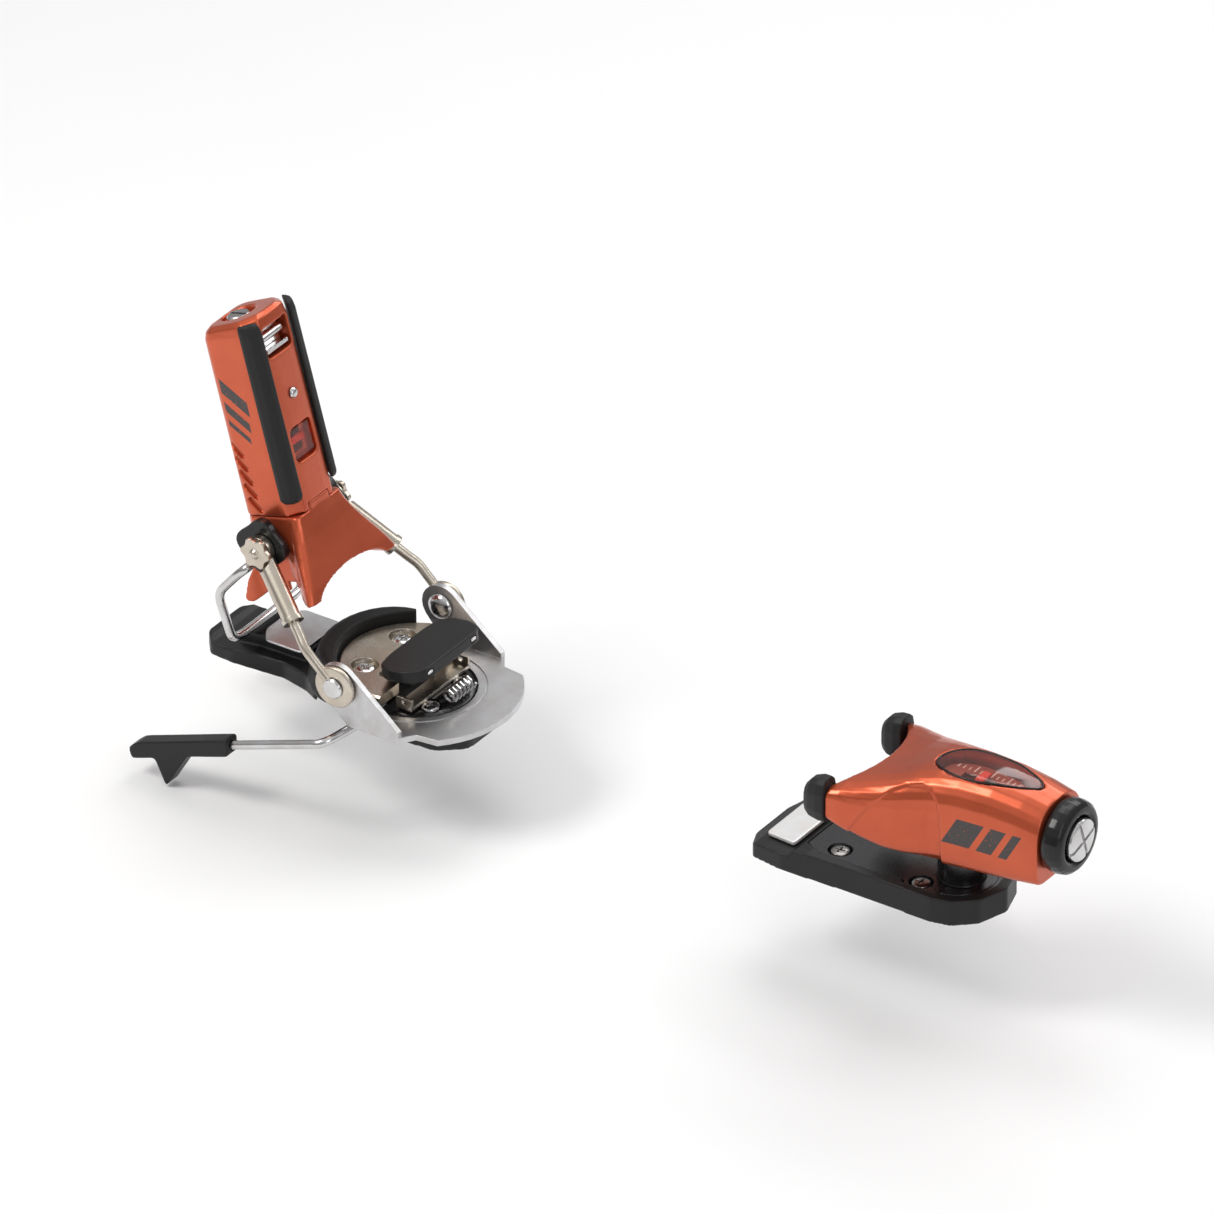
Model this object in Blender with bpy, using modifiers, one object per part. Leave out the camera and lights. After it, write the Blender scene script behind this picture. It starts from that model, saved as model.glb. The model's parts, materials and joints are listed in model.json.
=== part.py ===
# Alpine turntable ski binding: heel on a rotating turntable, brake, and single-post toe.
# The scene is in metres: +X forward along the ski, +Y left, +Z up, Z = 0 on the ski's top
# surface.  The origin is the heel turntable's axis.  Sizes and helper arguments are in mm.
import math

import bmesh
import bpy
from mathutils import Matrix, Vector

for old in list(bpy.data.objects):
    bpy.data.objects.remove(old, do_unlink=True)

MM = 0.001
SIDES = ((1, "l"), (-1, "r"))    # sign of Y and name tag: left, right


def screw_pair(x, half_pitch):
    return [(x, half_pitch), (x, -half_pitch)]


# ---- driving dimensions (mm) ----
GAP = 0.3                        # clearance between neighbouring pieces
EAR_X, EAR_Z = -14.0, 26.8       # arm hinge on the fork ears
TOP_X, TOP_Z = -67.3, 74.5       # arms' upper axle in the heel lever
BAIL_X, BAIL_Z = -76.0, 61.0     # rear bail's pin
BRAKE_X, BRAKE_Z = -8.0, 3.2     # brake's hinge
TILT = 15.6                      # backward lean of the heel housing, degrees
TOE_X = 303.0                    # toe's swivel post
SCREW_Z = 52.5                   # toe's setting-screw axis
BASE_T = 6.0                     # fixed heel base thickness
FORK_T = 3.0                     # fork plate and ear thickness
FORK_Z0 = BASE_T + GAP           # fork plate bottom
FORK_Z1 = FORK_Z0 + FORK_T       # fork plate top
DISC_Z = 22.0                    # turntable disc top
REST_Z = 27.5                    # heel rest top
REAR_SCREWS = screw_pair(-18.0, 15.5)
FRONT_SCREWS = screw_pair(17.0, 13.0)
TOE_SCREWS = screw_pair(245.0, 13.0) + screw_pair(291.0, 15.5)

# ---- surface finishes ----
ORANGE = dict(label="orange", color=(0.60, 0.13, 0.055), roughness=0.35, metallic=0.55)
BLACK = dict(label="black_plastic", color=(0.018, 0.018, 0.019), roughness=0.55, metallic=0.0)
RUBBER = dict(label="black_rubber", color=(0.022, 0.022, 0.022), roughness=0.75, metallic=0.0)
NICKEL = dict(label="nickel", color=(0.62, 0.58, 0.52), roughness=0.28, metallic=1.0)
ALU = dict(label="blasted_aluminium", color=(0.55, 0.55, 0.57), roughness=0.45, metallic=1.0)
STEEL = dict(label="bright_steel", color=(0.72, 0.72, 0.73), roughness=0.18, metallic=1.0)
DARK = dict(label="dark_steel", color=(0.12, 0.12, 0.13), roughness=0.4, metallic=0.9)
SATIN = dict(label="satin_slide", color=(0.78, 0.79, 0.80), roughness=0.3, metallic=0.3)
CLEAR = dict(label="clear_window", color=(0.45, 0.30, 0.28), roughness=0.08, metallic=0.0,
             alpha=0.4)
RED = dict(label="red_pointer", color=(0.8, 0.05, 0.02), roughness=0.4, metallic=0.0)

parts = bpy.data.collections.new("ski_binding")
cutters = bpy.data.collections.new("cutters")
bpy.context.scene.collection.children.link(parts)
bpy.context.scene.collection.children.link(cutters)


# =====================================================================
# OBJECTS.  A piece has a finish; with none it is a hidden boolean helper.
# =====================================================================
def material(owner, label, color, roughness, metallic, alpha=1.0):
    mat = bpy.data.materials.new(owner + "_" + label)
    mat.use_nodes = True
    inputs = mat.node_tree.nodes["Principled BSDF"].inputs
    inputs["Base Color"].default_value = (*color, 1.0)
    inputs["Roughness"].default_value = roughness
    inputs["Metallic"].default_value = metallic
    inputs["Alpha"].default_value = alpha
    return mat


def add_object(name, mesh, finish, smooth):
    """Link the mesh; edges sharper than `smooth` degrees stay sharp."""
    ob = bpy.data.objects.new(name, mesh)
    if finish:
        parts.objects.link(ob)
        mesh.materials.append(material(name, **finish))
    else:
        cutters.objects.link(ob)
        ob.hide_render = True
        ob.display_type = 'WIRE'
    mesh.shade_smooth()
    mesh.set_sharp_from_angle(angle=math.radians(smooth))
    return ob


def from_bmesh(name, bm, finish, smooth=35.0):
    mesh = bpy.data.meshes.new(name)
    bmesh.ops.recalc_face_normals(bm, faces=bm.faces)
    bm.to_mesh(mesh)
    bm.free()
    return add_object(name, mesh, finish, smooth)


def construction(name, data):
    """Temporary object, later replaced by solid()."""
    ob = bpy.data.objects.new(name, data)
    cutters.objects.link(ob)
    return ob


def solid(ob, finish, smooth=35.0):
    """Replace an object by the mesh it evaluates to, welded, in world space."""
    bpy.context.view_layer.update()
    evaluated = ob.evaluated_get(bpy.context.evaluated_depsgraph_get())
    mesh = bpy.data.meshes.new_from_object(evaluated)
    mesh.transform(ob.matrix_world)
    name = ob.name
    bpy.data.objects.remove(ob, do_unlink=True)
    bm = bmesh.new()
    bm.from_mesh(mesh)
    bmesh.ops.remove_doubles(bm, verts=bm.verts, dist=0.000005)
    bmesh.ops.recalc_face_normals(bm, faces=bm.faces)
    bm.to_mesh(mesh)
    bm.free()
    mesh.name = name
    return add_object(name, mesh, finish, smooth)


def add_bevel(ob, width, segments=1, angle=40.0):
    mod = ob.modifiers.new("Bevel", 'BEVEL')
    mod.width = width * MM
    mod.segments = segments
    mod.limit_method = 'ANGLE'
    mod.angle_limit = math.radians(angle)


def boolean(ob, operation, others):
    for other in others:
        mod = ob.modifiers.new(operation.title(), 'BOOLEAN')
        mod.operation = operation
        mod.object = other
        mod.solver = 'EXACT'


def cut(ob, *others):
    boolean(ob, 'DIFFERENCE', others)


def join(ob, *others):
    boolean(ob, 'UNION', others)


# =====================================================================
# FRAMES AND OUTLINES
# =====================================================================
def at(x, y, z):
    return Matrix.Translation((x * MM, y * MM, z * MM))


def xz_frame(y0):
    """For an outline in X and Z with its thickness from y0 toward +Y."""
    return Matrix(((1, 0, 0, 0), (0, 0, 1, y0 * MM), (0, 1, 0, 0), (0, 0, 0, 1)))


def yz_frame(x0):
    """For an outline in Y and Z with its thickness from x0 toward +X."""
    return Matrix(((0, 0, 1, x0 * MM), (1, 0, 0, 0), (0, 1, 0, 0), (0, 0, 0, 1)))


def arc(cx, cy, radius, start, end, n):
    angles = [math.radians(start + (end - start) * i / n) for i in range(n + 1)]
    return [(cx + radius * math.cos(a), cy + radius * math.sin(a)) for a in angles]


def circle(cx, cy, radius, n=24):
    return arc(cx, cy, radius, 0, 360 - 360 / n, n - 1)


def lobed(cx, cy, radius, depth, lobes, n=36):
    """Circle whose radius swings by `depth` either way, once per lobe."""
    out = []
    for i in range(n):
        t = 2 * math.pi * i / n
        r = radius + depth * math.cos(lobes * t)
        out.append((cx + r * math.cos(t), cy + r * math.sin(t)))
    return out


def mirrored(half):
    """Closed outline from a half that lies on one side of the centre line y = 0."""
    return half + [(x, -y) for x, y in reversed(half) if abs(y) > 1e-6]


def rounded(points, size, n=3):
    """Round every corner of a closed 2D outline with quadratic arcs."""
    out = []
    for i, point in enumerate(points):
        corner = Vector(point)
        before = Vector(points[i - 1]) - corner
        after = Vector(points[(i + 1) % len(points)]) - corner
        d = min(size, before.length * 0.45, after.length * 0.45)
        start = corner + before.normalized() * d
        end = corner + after.normalized() * d
        for k in range(n + 1):
            t = k / n
            q = start * (1 - t) ** 2 + corner * 2 * t * (1 - t) + end * t * t
            out.append((q.x, q.y))
    return out


def signed_power(value, power):
    return math.copysign(abs(value) ** power, value)


def helix(radius, turns, start, length, steps):
    """Coil points: two offsets across the axis, then the distance along it."""
    out = []
    for i in range(steps + 1):
        t = i / steps
        a = 2 * math.pi * turns * t
        out.append((radius * math.cos(a), radius * math.sin(a), start + length * t))
    return out


# =====================================================================
# SOLIDS
# =====================================================================
def box(name, corner_a, corner_b, finish=None, bevel=0.0, segments=1):
    lo = [min(pair) for pair in zip(corner_a, corner_b)]
    hi = [max(pair) for pair in zip(corner_a, corner_b)]
    bm = bmesh.new()
    bmesh.ops.create_cube(bm, size=1.0)
    for v in bm.verts:
        v.co = Vector([(lo[i] + hi[i]) / 2 + v.co[i] * (hi[i] - lo[i]) for i in range(3)]) * MM
    ob = from_bmesh(name, bm, finish)
    if bevel:
        add_bevel(ob, bevel, segments)
    return ob


def rod(name, start, end, radius, finish=None, seg=24, end_radius=None):
    a, b = Vector(start) * MM, Vector(end) * MM
    span = b - a
    turn = Vector((0, 0, 1)).rotation_difference(span.normalized()).to_matrix().to_4x4()
    bm = bmesh.new()
    bmesh.ops.create_cone(bm, cap_ends=True, segments=seg, radius1=radius * MM,
                          radius2=(radius if end_radius is None else end_radius) * MM,
                          depth=span.length, matrix=Matrix.Translation((a + b) / 2) @ turn)
    return from_bmesh(name, bm, finish)


def cross_rod(name, x, z, half_length, radius, finish=None, seg=20):
    """Rod along Y, centred on the binding's mid-plane."""
    return rod(name, (x, -half_length, z), (x, half_length, z), radius, finish, seg)


def turned(name, profile, origin, finish=None, rot=(0, 0, 0), steps=24):
    """Spin a (radius, height) profile around its own axis, set at `origin` and `rot` degrees."""
    mesh = bpy.data.meshes.new(name)
    verts = [(r * MM, 0.0, h * MM) for r, h in profile]
    mesh.from_pydata(verts, [(i, i + 1) for i in range(len(verts) - 1)], [])
    ob = construction(name, mesh)
    mod = ob.modifiers.new("Screw", 'SCREW')
    mod.axis = 'Z'
    mod.steps = mod.render_steps = steps
    mod.use_merge_vertices = True
    mod.merge_threshold = 0.00001
    ob.location = [c * MM for c in origin]
    ob.rotation_euler = [math.radians(a) for a in rot]
    return solid(ob, finish)


def add_spline(curve, points, closed):
    spline = curve.splines.new('POLY')
    spline.points.add(len(points) - 1)
    for target, (x, y, z) in zip(spline.points, points):
        target.co = (x * MM, y * MM, z * MM, 1)
    spline.use_cyclic_u = closed


def plate(name, outline, thick, finish=None, holes=(), frame=Matrix.Identity(4)):
    """Flat outline with its thickness along local Z, from z = 0 up, placed by `frame`."""
    curve = bpy.data.curves.new(name, 'CURVE')
    curve.dimensions = '2D'
    curve.fill_mode = 'BOTH'
    curve.extrude = thick * MM / 2
    for loop in [outline, *holes]:
        add_spline(curve, [(x, y, 0) for x, y in loop], closed=True)
    ob = construction(name, curve)
    ob.matrix_world = frame @ at(0, 0, thick / 2)
    return solid(ob, finish)


def centred_plate(name, outline, width, finish=None):
    """XZ outline, `width` wide about the mid-plane."""
    return plate(name, outline, width, finish, frame=xz_frame(-width / 2))


def side_plate(name, outline, side, inner, thick, finish=None, holes=()):
    """XZ outline on one side, its inner face `inner` away from the mid-plane."""
    y0 = inner if side > 0 else -(inner + thick)
    return plate(name, outline, thick, finish, holes, xz_frame(y0))


def wire(name, points, radius, finish=None, res=3):
    curve = bpy.data.curves.new(name, 'CURVE')
    curve.dimensions = '3D'
    curve.bevel_depth = radius * MM
    curve.bevel_resolution = res
    curve.use_fill_caps = True
    add_spline(curve, points, closed=False)
    return solid(construction(name, curve), finish, 50.0)


def loft(name, rings, finish=None, smooth=35.0):
    bm = bmesh.new()
    rows = [[bm.verts.new(Vector(p) * MM) for p in ring] for ring in rings]
    n = len(rows[0])
    for a, b in zip(rows, rows[1:]):
        for i in range(n):
            bm.faces.new((a[i], a[(i + 1) % n], b[(i + 1) % n], b[i]))
    bm.faces.new(list(reversed(rows[0])))
    bm.faces.new(rows[-1])
    return from_bmesh(name, bm, finish, smooth)


def mount_screw(name, x, y, top):
    """Pan head with a crossed recess, shank stopping above the ski surface."""
    profile = [(0, top), (3.2, top), (4.4, top - 0.5), (4.9, top - 1.5), (4.9, top - 2.2),
               (2.6, top - 2.3), (2.6, 1.2), (1.6, 0.5), (0, 0.5)]
    screw = turned(name, profile, (x, y, 0), STEEL, steps=12)
    long, narrow = 2.6, 0.45     # half sizes of each recess arm
    for k, (dx, dy) in enumerate(((long, narrow), (narrow, long))):
        cut(screw, box("cut_%s_%d" % (name, k), (x - dx, y - dy, top - 1.1),
                       (x + dx, y + dy, top + 2)))


# =====================================================================
# HEEL, fixed part
# =====================================================================
def heel_base():
    half = [(44.0, 0.0), (44.0, -21.0), (31.5, -31.5), (8.0, -32.5), (-18.0, -30.0),
            (-33.0, -23.5)]
    half += arc(0, 0, 44.5, 206, 180, 4)[:-1] + [(-44.5, 0.0)]
    base = plate("heel_base", rounded(mirrored(half), 3.0, 2), BASE_T, BLACK)
    for i, (x, y) in enumerate(REAR_SCREWS + FRONT_SCREWS):
        cut(base, rod("cut_base_hole_%d" % i, (x, y, -2), (x, y, 9), 3.0, seg=16))
    for side, tag in SIDES:
        cut(base, box("cut_wire_slot_" + tag, (BRAKE_X - 6.5, side * 10, 0.7),
                      (BRAKE_X + 3.2, side * 36, 8.0)))


def turntable_disc():
    """Mushroom with a soft rim, cut away at the front."""
    hub_r, cap_r, cap_z = 27.5, 36.0, 16.5
    profile = [(0, DISC_Z), (cap_r - 1.0, DISC_Z), (cap_r, DISC_Z - 0.9), (cap_r, cap_z),
               (hub_r, cap_z), (hub_r, FORK_Z0), (0, FORK_Z0)]
    disc = turned("turntable_disc", profile, (0, 0, 0), NICKEL, steps=44)
    cut(disc,
        box("cut_disc_front", (4.0, -60, 0), (60, 60, 40)),
        box("cut_disc_hub", (-12.5, -60, 0), (60, 60, 16.4)),
        box("cut_disc_notch", (-8.5, -19.6, 10), (60, 19.6, 40)))
    seat = [(0, 24), (6.6, 24), (6.6, DISC_Z - 0.6), (5.6, DISC_Z - 3.4), (3.0, DISC_Z - 3.6),
            (3.0, 2), (0, 2)]
    for i, (x, y) in enumerate(REAR_SCREWS):
        cut(disc, turned("cut_disc_screw_%d" % i, seat, (x, y, 0), steps=20))


def front_hub_plate():
    profile = [(0, 11.0), (20.0, 11.0), (20.5, 10.0), (26.5, 10.0), (28.2, 9.0),
               (28.2, FORK_Z0), (0, FORK_Z0)]
    hub = turned("front_hub_plate", profile, (0, 0, 0), DARK, steps=48)
    cut(hub, box("cut_hub_rear", (-60, -60, 0), (5.0, 60, 40)))
    seat = [(0, 24), (5.6, 24), (5.6, 8.6), (2.9, 8.5), (2.9, 2), (0, 2)]
    for i, (x, y) in enumerate(FRONT_SCREWS):
        cut(hub, turned("cut_hub_screw_%d" % i, seat, (x, y, 0), steps=16))


def heel_screws():
    tops = [DISC_Z - 1.0] * 2 + [11.3] * 2
    for i, ((x, y), top) in enumerate(zip(REAR_SCREWS + FRONT_SCREWS, tops)):
        mount_screw("heel_mount_screw_%d" % (i + 1), x, y, top)


def brake_bracket():
    """Bent sheet standing on the front hub plate: a U open at the top."""
    half_w, sheet, bottom, top = 24.0, 1.6, 11.4, 17.5
    inner, floor = half_w - sheet, bottom + sheet
    outline = [(-half_w, bottom), (half_w, bottom), (half_w, top), (inner, top),
               (inner, floor), (-inner, floor), (-inner, top), (-half_w, top)]
    bracket = plate("brake_bracket", outline, 8.6, NICKEL, frame=yz_frame(5.4))
    cut(bracket, cross_rod("cut_bracket_hole", 9.7, 15.4, 30, 1.3, seg=14))


# =====================================================================
# HEEL, turntable: fork, heel rest, tail
# =====================================================================
EAR_Y = 41.0                     # ear's inner face
HINGE_HOLE = 4.1                 # radius of the hole in ears and arm rings
TAIL_R = 40.8                    # radius at which the tail and heel rest meet


def turntable_fork():
    lobe_end = math.degrees(math.atan2(35.0, 36.0))
    outline = [(20.0, -43.9), (25.0, -36.5)] + arc(0, 0, 50.5, -lobe_end, lobe_end, 14)
    outline += [(25.0, 36.5), (20.0, 43.9), (-6.0, 43.9), (-12.5, 38.5)]
    outline += arc(0, 0, 40.2, 112, 248, 16) + [(-12.5, -38.5), (-6.0, -43.9)]
    fork = plate("turntable_fork", outline, FORK_T, ALU, holes=[circle(0, 0, 29.2, 32)],
                 frame=at(0, 0, FORK_Z0))
    ear = arc(EAR_X, EAR_Z, 10.7, 55, 215, 9)
    ear += [(-18.0, 15.0), (-8.0, FORK_Z0 + 0.1), (20.0, FORK_Z0 + 0.1), (20.0, 12.0)]
    for side, tag in SIDES:
        join(fork, side_plate("ear_" + tag, ear, side, EAR_Y, FORK_T,
                              holes=[circle(EAR_X, EAR_Z, HINGE_HOLE, 16)]))
    floor = FORK_Z1 - 0.5
    groove = [(33.6, 12), (33.6, floor), (32.6, floor), (32.6, 12), (33.6, 12)]
    cut(fork, turned("cut_fork_groove", groove, (0, 0, 0), steps=40))


def rest_ring(angle):
    """Heel rest section: vertical inner wall, flat top, sloped outer flank."""
    outer = 51.5 - 6.0 * (abs(angle - 180.0) / 56.0) ** 3
    section = [(36.9, 9.8), (36.9, REST_Z - 0.8), (37.7, REST_Z), (outer - 7.5, REST_Z),
               (outer - 5.2, REST_Z - 1.2), (outer, 12.0), (outer, 10.0),
               (TAIL_R, 10.0), (TAIL_R, 9.8)]
    c, s = math.cos(math.radians(angle)), math.sin(math.radians(angle))
    return [(r * c, r * s, z) for r, z in section]


def heel_rest():
    loft("heel_rest", [rest_ring(124 + 112 * i / 16) for i in range(17)], RUBBER)


def tail_body():
    """Trough-shaped plastic arm behind the turntable."""
    bottom, top = 0.6, 16.0
    half = [(-TAIL_R, 0.0)] + arc(0, 0, TAIL_R, 180, 212, 5)[1:]
    half += [(-38.5, -26.5), (-47.0, -22.0), (-62.0, -18.5), (-90.0, -20.5), (-103.0, -19.5),
             (-108.5, -13.0), (-108.5, 0.0)]
    tail = plate("tail_body", rounded(mirrored(half), 1.5, 2), top - bottom, BLACK,
                 frame=at(0, 0, bottom))
    # (x, z) of the space above the trough
    above = [(-112, 17.5), (-112, 9.2), (-104.5, 9.2), (-102.0, 7.8), (-95.0, 7.6),
             (-88.0, 8.4), (-79.0, 9.6), (-58, 9.8), (-30, 9.8), (-30, 17.5)]
    cut(tail,
        centred_plate("cut_tail_top", above, 80.0),
        turned("cut_tail_under", [(0, 6.1), (46.0, 6.1), (46.0, -2), (0, -2)], (0, 0, 0),
               steps=48),
        box("cut_tail_rear", (-114, -30, -1), (-105.5, 30, 1.6)))
    rib = [(-93.0, 6.0), (-90.0, 13.0), (-84.0, 15.8), (-56.0, 15.8), (-53.0, 14.0),
           (-53.0, 6.0)]
    join(tail, centred_plate("tail_rib", rib, 24.0))


def tail_plate():
    outline = [(-79, -8), (-74, -16.0), (-53.6, -16.0), (-53.6, 16.0), (-74, 16.0), (-79, 8)]
    plate("tail_plate", rounded(outline, 2, 2), 1.0, ALU, frame=at(0, 0, 16.1))


# =====================================================================
# HEEL, arms
# =====================================================================
EYE_Y0, EYE_Y1 = 27.3, 30.9      # inner and outer face of the sleeve's eye
AXLE_HOLE = 3.9                  # radius of the holes around the upper axle


def outward(side):
    """Rotation that turns a profile's heights into distances out from the mid-plane."""
    return (-90.0 * side, 0, 0)


def ear_rivet(side, tag):
    """Dome inside the ear, shank through ear and arm ring, head outside."""
    profile = [(0, 49.0), (1.2, 48.9), (4.6, 48.9), (5.2, 48.2), (5.2, 47.5), (3.7, 47.4),
               (3.7, 40.7), (6.6, 40.6), (6.2, 39.4), (4.6, 38.3), (2.4, 37.8), (0, 37.7)]
    turned("ear_rivet_" + tag, profile, (EAR_X, 0, EAR_Z), STEEL, outward(side), steps=20)


def arm(side, tag):
    """Flat ring at the ear, rod bending inward to the upper axle, sleeve over the rod's end."""
    bend = Vector((-34.0, side * 44.2, 45.3))
    along = (Vector((-65.0, side * 30.0, 72.6)) - bend).normalized()

    ring = side_plate("arm_rod_" + tag, circle(EAR_X, EAR_Z, 10.6, 28), side, 44.4, 2.7,
                      NICKEL, [circle(EAR_X, EAR_Z, HINGE_HOLE, 16)])
    points = [(-19.5, side * 46.5, 31.8), (-30.5, side * 46.4, 42.2),
              (-32.8, side * 45.5, 44.3)]
    points += [tuple(bend + along * d) for d in (1.0, 12.0, 30.0)]
    join(ring, wire("rod_" + tag, points, 2.35))

    def on_axle(y):
        return (TOP_X, side * y, TOP_Z)

    mouth = bend + along * 9.0
    sleeve = rod("adjuster_sleeve_" + tag, mouth, bend + along * 41.5, 4.7, NICKEL, 22)
    join(sleeve,
         rod("collar_" + tag, mouth - along * 0.6, mouth + along * 1.8, 5.3, seg=22),
         rod("eye_" + tag, on_axle(EYE_Y0), on_axle(EYE_Y1), 7.0, seg=22))
    cut(sleeve,
        rod("cut_sleeve_bore_" + tag, mouth - along * 3.0, mouth + along * 23.5, 2.75, seg=16),
        rod("cut_sleeve_eye_" + tag, on_axle(20), on_axle(30.95), AXLE_HOLE, seg=16),
        box("cut_sleeve_in_" + tag, (TOP_X - 14, side * 20, TOP_Z - 14),
            (TOP_X + 14, side * 27.2, TOP_Z + 14)),
        rod("cut_sleeve_out_" + tag, on_axle(31.0), on_axle(42), 8.8))


def hub_cover(side, tag):
    """Lobed plate against the housing."""
    side_plate("hub_cover_" + tag, lobed(TOP_X - 1.5, TOP_Z, 12.6, 1.3, 4), side, 22.6, 4.2,
               BLACK, [circle(TOP_X, TOP_Z, AXLE_HOLE, 16)])


def star_cap(side, tag):
    """Six-lobed cap with a ball centre."""
    cap = side_plate("star_cap_" + tag, lobed(TOP_X, TOP_Z, 7.3, 0.9, 6), side, 31.3, 2.6,
                     NICKEL)
    ball = [(0, 35.6), (1.4, 35.3), (2.4, 34.4), (2.7, 33.0), (0, 33.0)]
    join(cap, turned("cap_ball_" + tag, ball, (TOP_X, 0, TOP_Z), None, outward(side), 14))


def arms():
    for side, tag in SIDES:
        ear_rivet(side, tag)
        arm(side, tag)
        hub_cover(side, tag)
        star_cap(side, tag)
    cross_rod("arm_axle", TOP_X, TOP_Z, 30.8, 3.5, STEEL)


# =====================================================================
# HEEL, lever.  Its frame starts at the upper axle: fwd = forward, y = left, up = up the lean
# =====================================================================
COS_TILT, SIN_TILT = math.cos(math.radians(TILT)), math.sin(math.radians(TILT))
LEVER = Matrix(((COS_TILT, 0, -SIN_TILT, TOP_X * MM), (0, 1, 0, 0),
                (SIN_TILT, 0, COS_TILT, TOP_Z * MM), (0, 0, 0, 1)))
UP_LEAN = (0, -TILT, 0)          # rotation of turned pieces standing along `up`
REAR, FRONT = -14.6, 17.2        # housing's rear and front faces
HALF_W = 17.6                    # housing's half width
SPRING_FWD = -2.6                # fwd of the spring and setting-screw axis
SPRING_BORE = 9.2                # radius of the spring bore
SPRING_TOP, SPRING_BOTTOM = 88.0, 35.5
RIVET_UP = 68.0                  # height of the front rivet


def lever_point(up, fwd, y=0.0):
    return (TOP_X + fwd * COS_TILT - up * SIN_TILT, y, TOP_Z + fwd * SIN_TILT + up * COS_TILT)


def lever_box(name, fwd, y, up, finish=None, bevel=0.0, segments=1):
    ob = box(name, (fwd[0], y[0], up[0]), (fwd[1], y[1], up[1]), finish, bevel, segments)
    ob.matrix_world = LEVER
    return ob


def lever_bore(name, up0, up1, radius, seg=28, end_radius=None):
    """Cutter on the spring axis."""
    return rod(name, lever_point(up0, SPRING_FWD), lever_point(up1, SPRING_FWD), radius,
               seg=seg, end_radius=end_radius)


def lever_profile(name, outline, fwd0, fwd1, finish=None):
    """Outline in (y, up), extruded from fwd0 to fwd1."""
    return plate(name, outline, fwd1 - fwd0, finish, frame=LEVER @ yz_frame(fwd0))


def rectangle(half_w, low, high):
    return [(-half_w, low), (half_w, low), (half_w, high), (-half_w, high)]


# up, insets of the front, rear and side faces, rise of the ring toward the front
HOUSING_STATIONS = [
    (11.8, 0.0, 0.0, 0.0, 0.0), (40, 0.0, 0.0, 0.0, 0.0), (80, 0.0, 0.0, 0.3, 0.0),
    (100.5, 0.0, 0.0, 0.6, 0.12), (103.6, 0.6, 0.8, 1.4, 0.19), (105.4, 2.6, 2.6, 3.6, 0.2)]


def housing_half(rear, front, w):
    """(fwd, y) with y >= 0 from the rear centre: rounded rear corner, chamfered front one."""
    corner, chamfer = 5.5, 6.4
    half = [(rear, 0.0), (rear, w * 0.45)]
    for i in range(6):
        t = math.radians(90 * i / 5)
        half.append((rear + corner - corner * math.cos(t), w - corner + corner * math.sin(t)))
    half += [(front - chamfer - 3, w), (front - chamfer, w - 0.3), (front, w - chamfer),
             (front + 0.5, (w - chamfer) * 0.5), (front + 0.6, 0.0)]
    return half


def heel_housing():
    rings = []
    for up, front_in, rear_in, side_in, slope in HOUSING_STATIONS:
        half = housing_half(REAR + rear_in, FRONT - front_in, HALF_W - side_in)
        rings.append([lever_point(up + slope * (f - REAR), f, y) for f, y in mirrored(half)])
    housing = loft("heel_housing", rings, ORANGE)
    # seam steps up at the front centre
    cut(housing, lever_box("cut_seam_step", (12.0, 30), (-8.0, 8.0), (5.0, 15.2)))
    # spring bore, open below, and the screw's opening at the top
    cut(housing,
        lever_bore("cut_spring_bore", -5, 92, SPRING_BORE),
        lever_bore("cut_screw_mouth", 90, 120, 6.4, seg=24),
        lever_bore("cut_screw_recess", 103.2, 120, 7.6, end_radius=11.0),
        cross_rod("cut_axle_room", TOP_X, TOP_Z, 40, 4.0))
    # front openings: chrome yoke above, indicator below, rivet hole between
    cut(housing,
        lever_box("cut_yoke_pocket", (9.2, 40), (-9.6, 9.6), (89.0, 104.2), None, 1.6, 2),
        lever_box("cut_indicator_pocket", (10.2, 40), (-8.2, 8.2), (35.0, 52.5), None, 2.4, 2),
        lever_box("cut_indicator_slot", (4.0, 14), (-2.0, 2.0), (37.0, 50.5)),
        rod("cut_front_rivet", lever_point(RIVET_UP, 12.0), lever_point(RIVET_UP, 30), 1.7,
            seg=14))
    # five slanted reliefs on each side near the rear edge
    slant = Matrix.Rotation(math.radians(36.0), 4, 'Y') @ at(4.8, 0, 0)
    for side, tag in SIDES:
        for i in range(5):
            vent = box("cut_vent_%s_%d" % (tag, i), (-9.4, side * 15.4, -1.35),
                       (-0.2, side * 24, 1.35))
            vent.matrix_world = at(*lever_point(17.0 + 7.0 * i, -6.0 - 0.75 * i)) @ slant
            cut(housing, vent)


# up, front face, half width at the front, half width at the waist
CUP_STATIONS = [
    (-26.0, 27.4, 35.4, 18.4), (-20.0, 26.0, 32.6, 18.8), (-14.0, 24.0, 29.4, 19.4),
    (-7.0, 21.6, 25.4, 19.6), (0.0, 19.4, 21.8, 19.2), (6.0, 18.0, 19.2, 18.4),
    (11.4, 17.2, 17.6, 17.4)]


def cup_half(front, w, waist):
    """(fwd, y) with y >= 0 from the rear centre to the front centre."""
    flare = w - waist
    return [(REAR, 0.0), (REAR, waist * 0.5), (REAR + 1.2, waist * 0.86), (REAR + 4.5, waist),
            (2.0, waist + 0.2), (7.5, waist + 0.4), (13.0, waist + flare * 0.35),
            (front - 5.5, waist + flare * 0.85), (front - 2.0, w), (front, w - 2.2),
            (front + 0.2, w * 0.62), (front + 0.4, w * 0.3), (front + 0.5, 0.0)]


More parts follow.
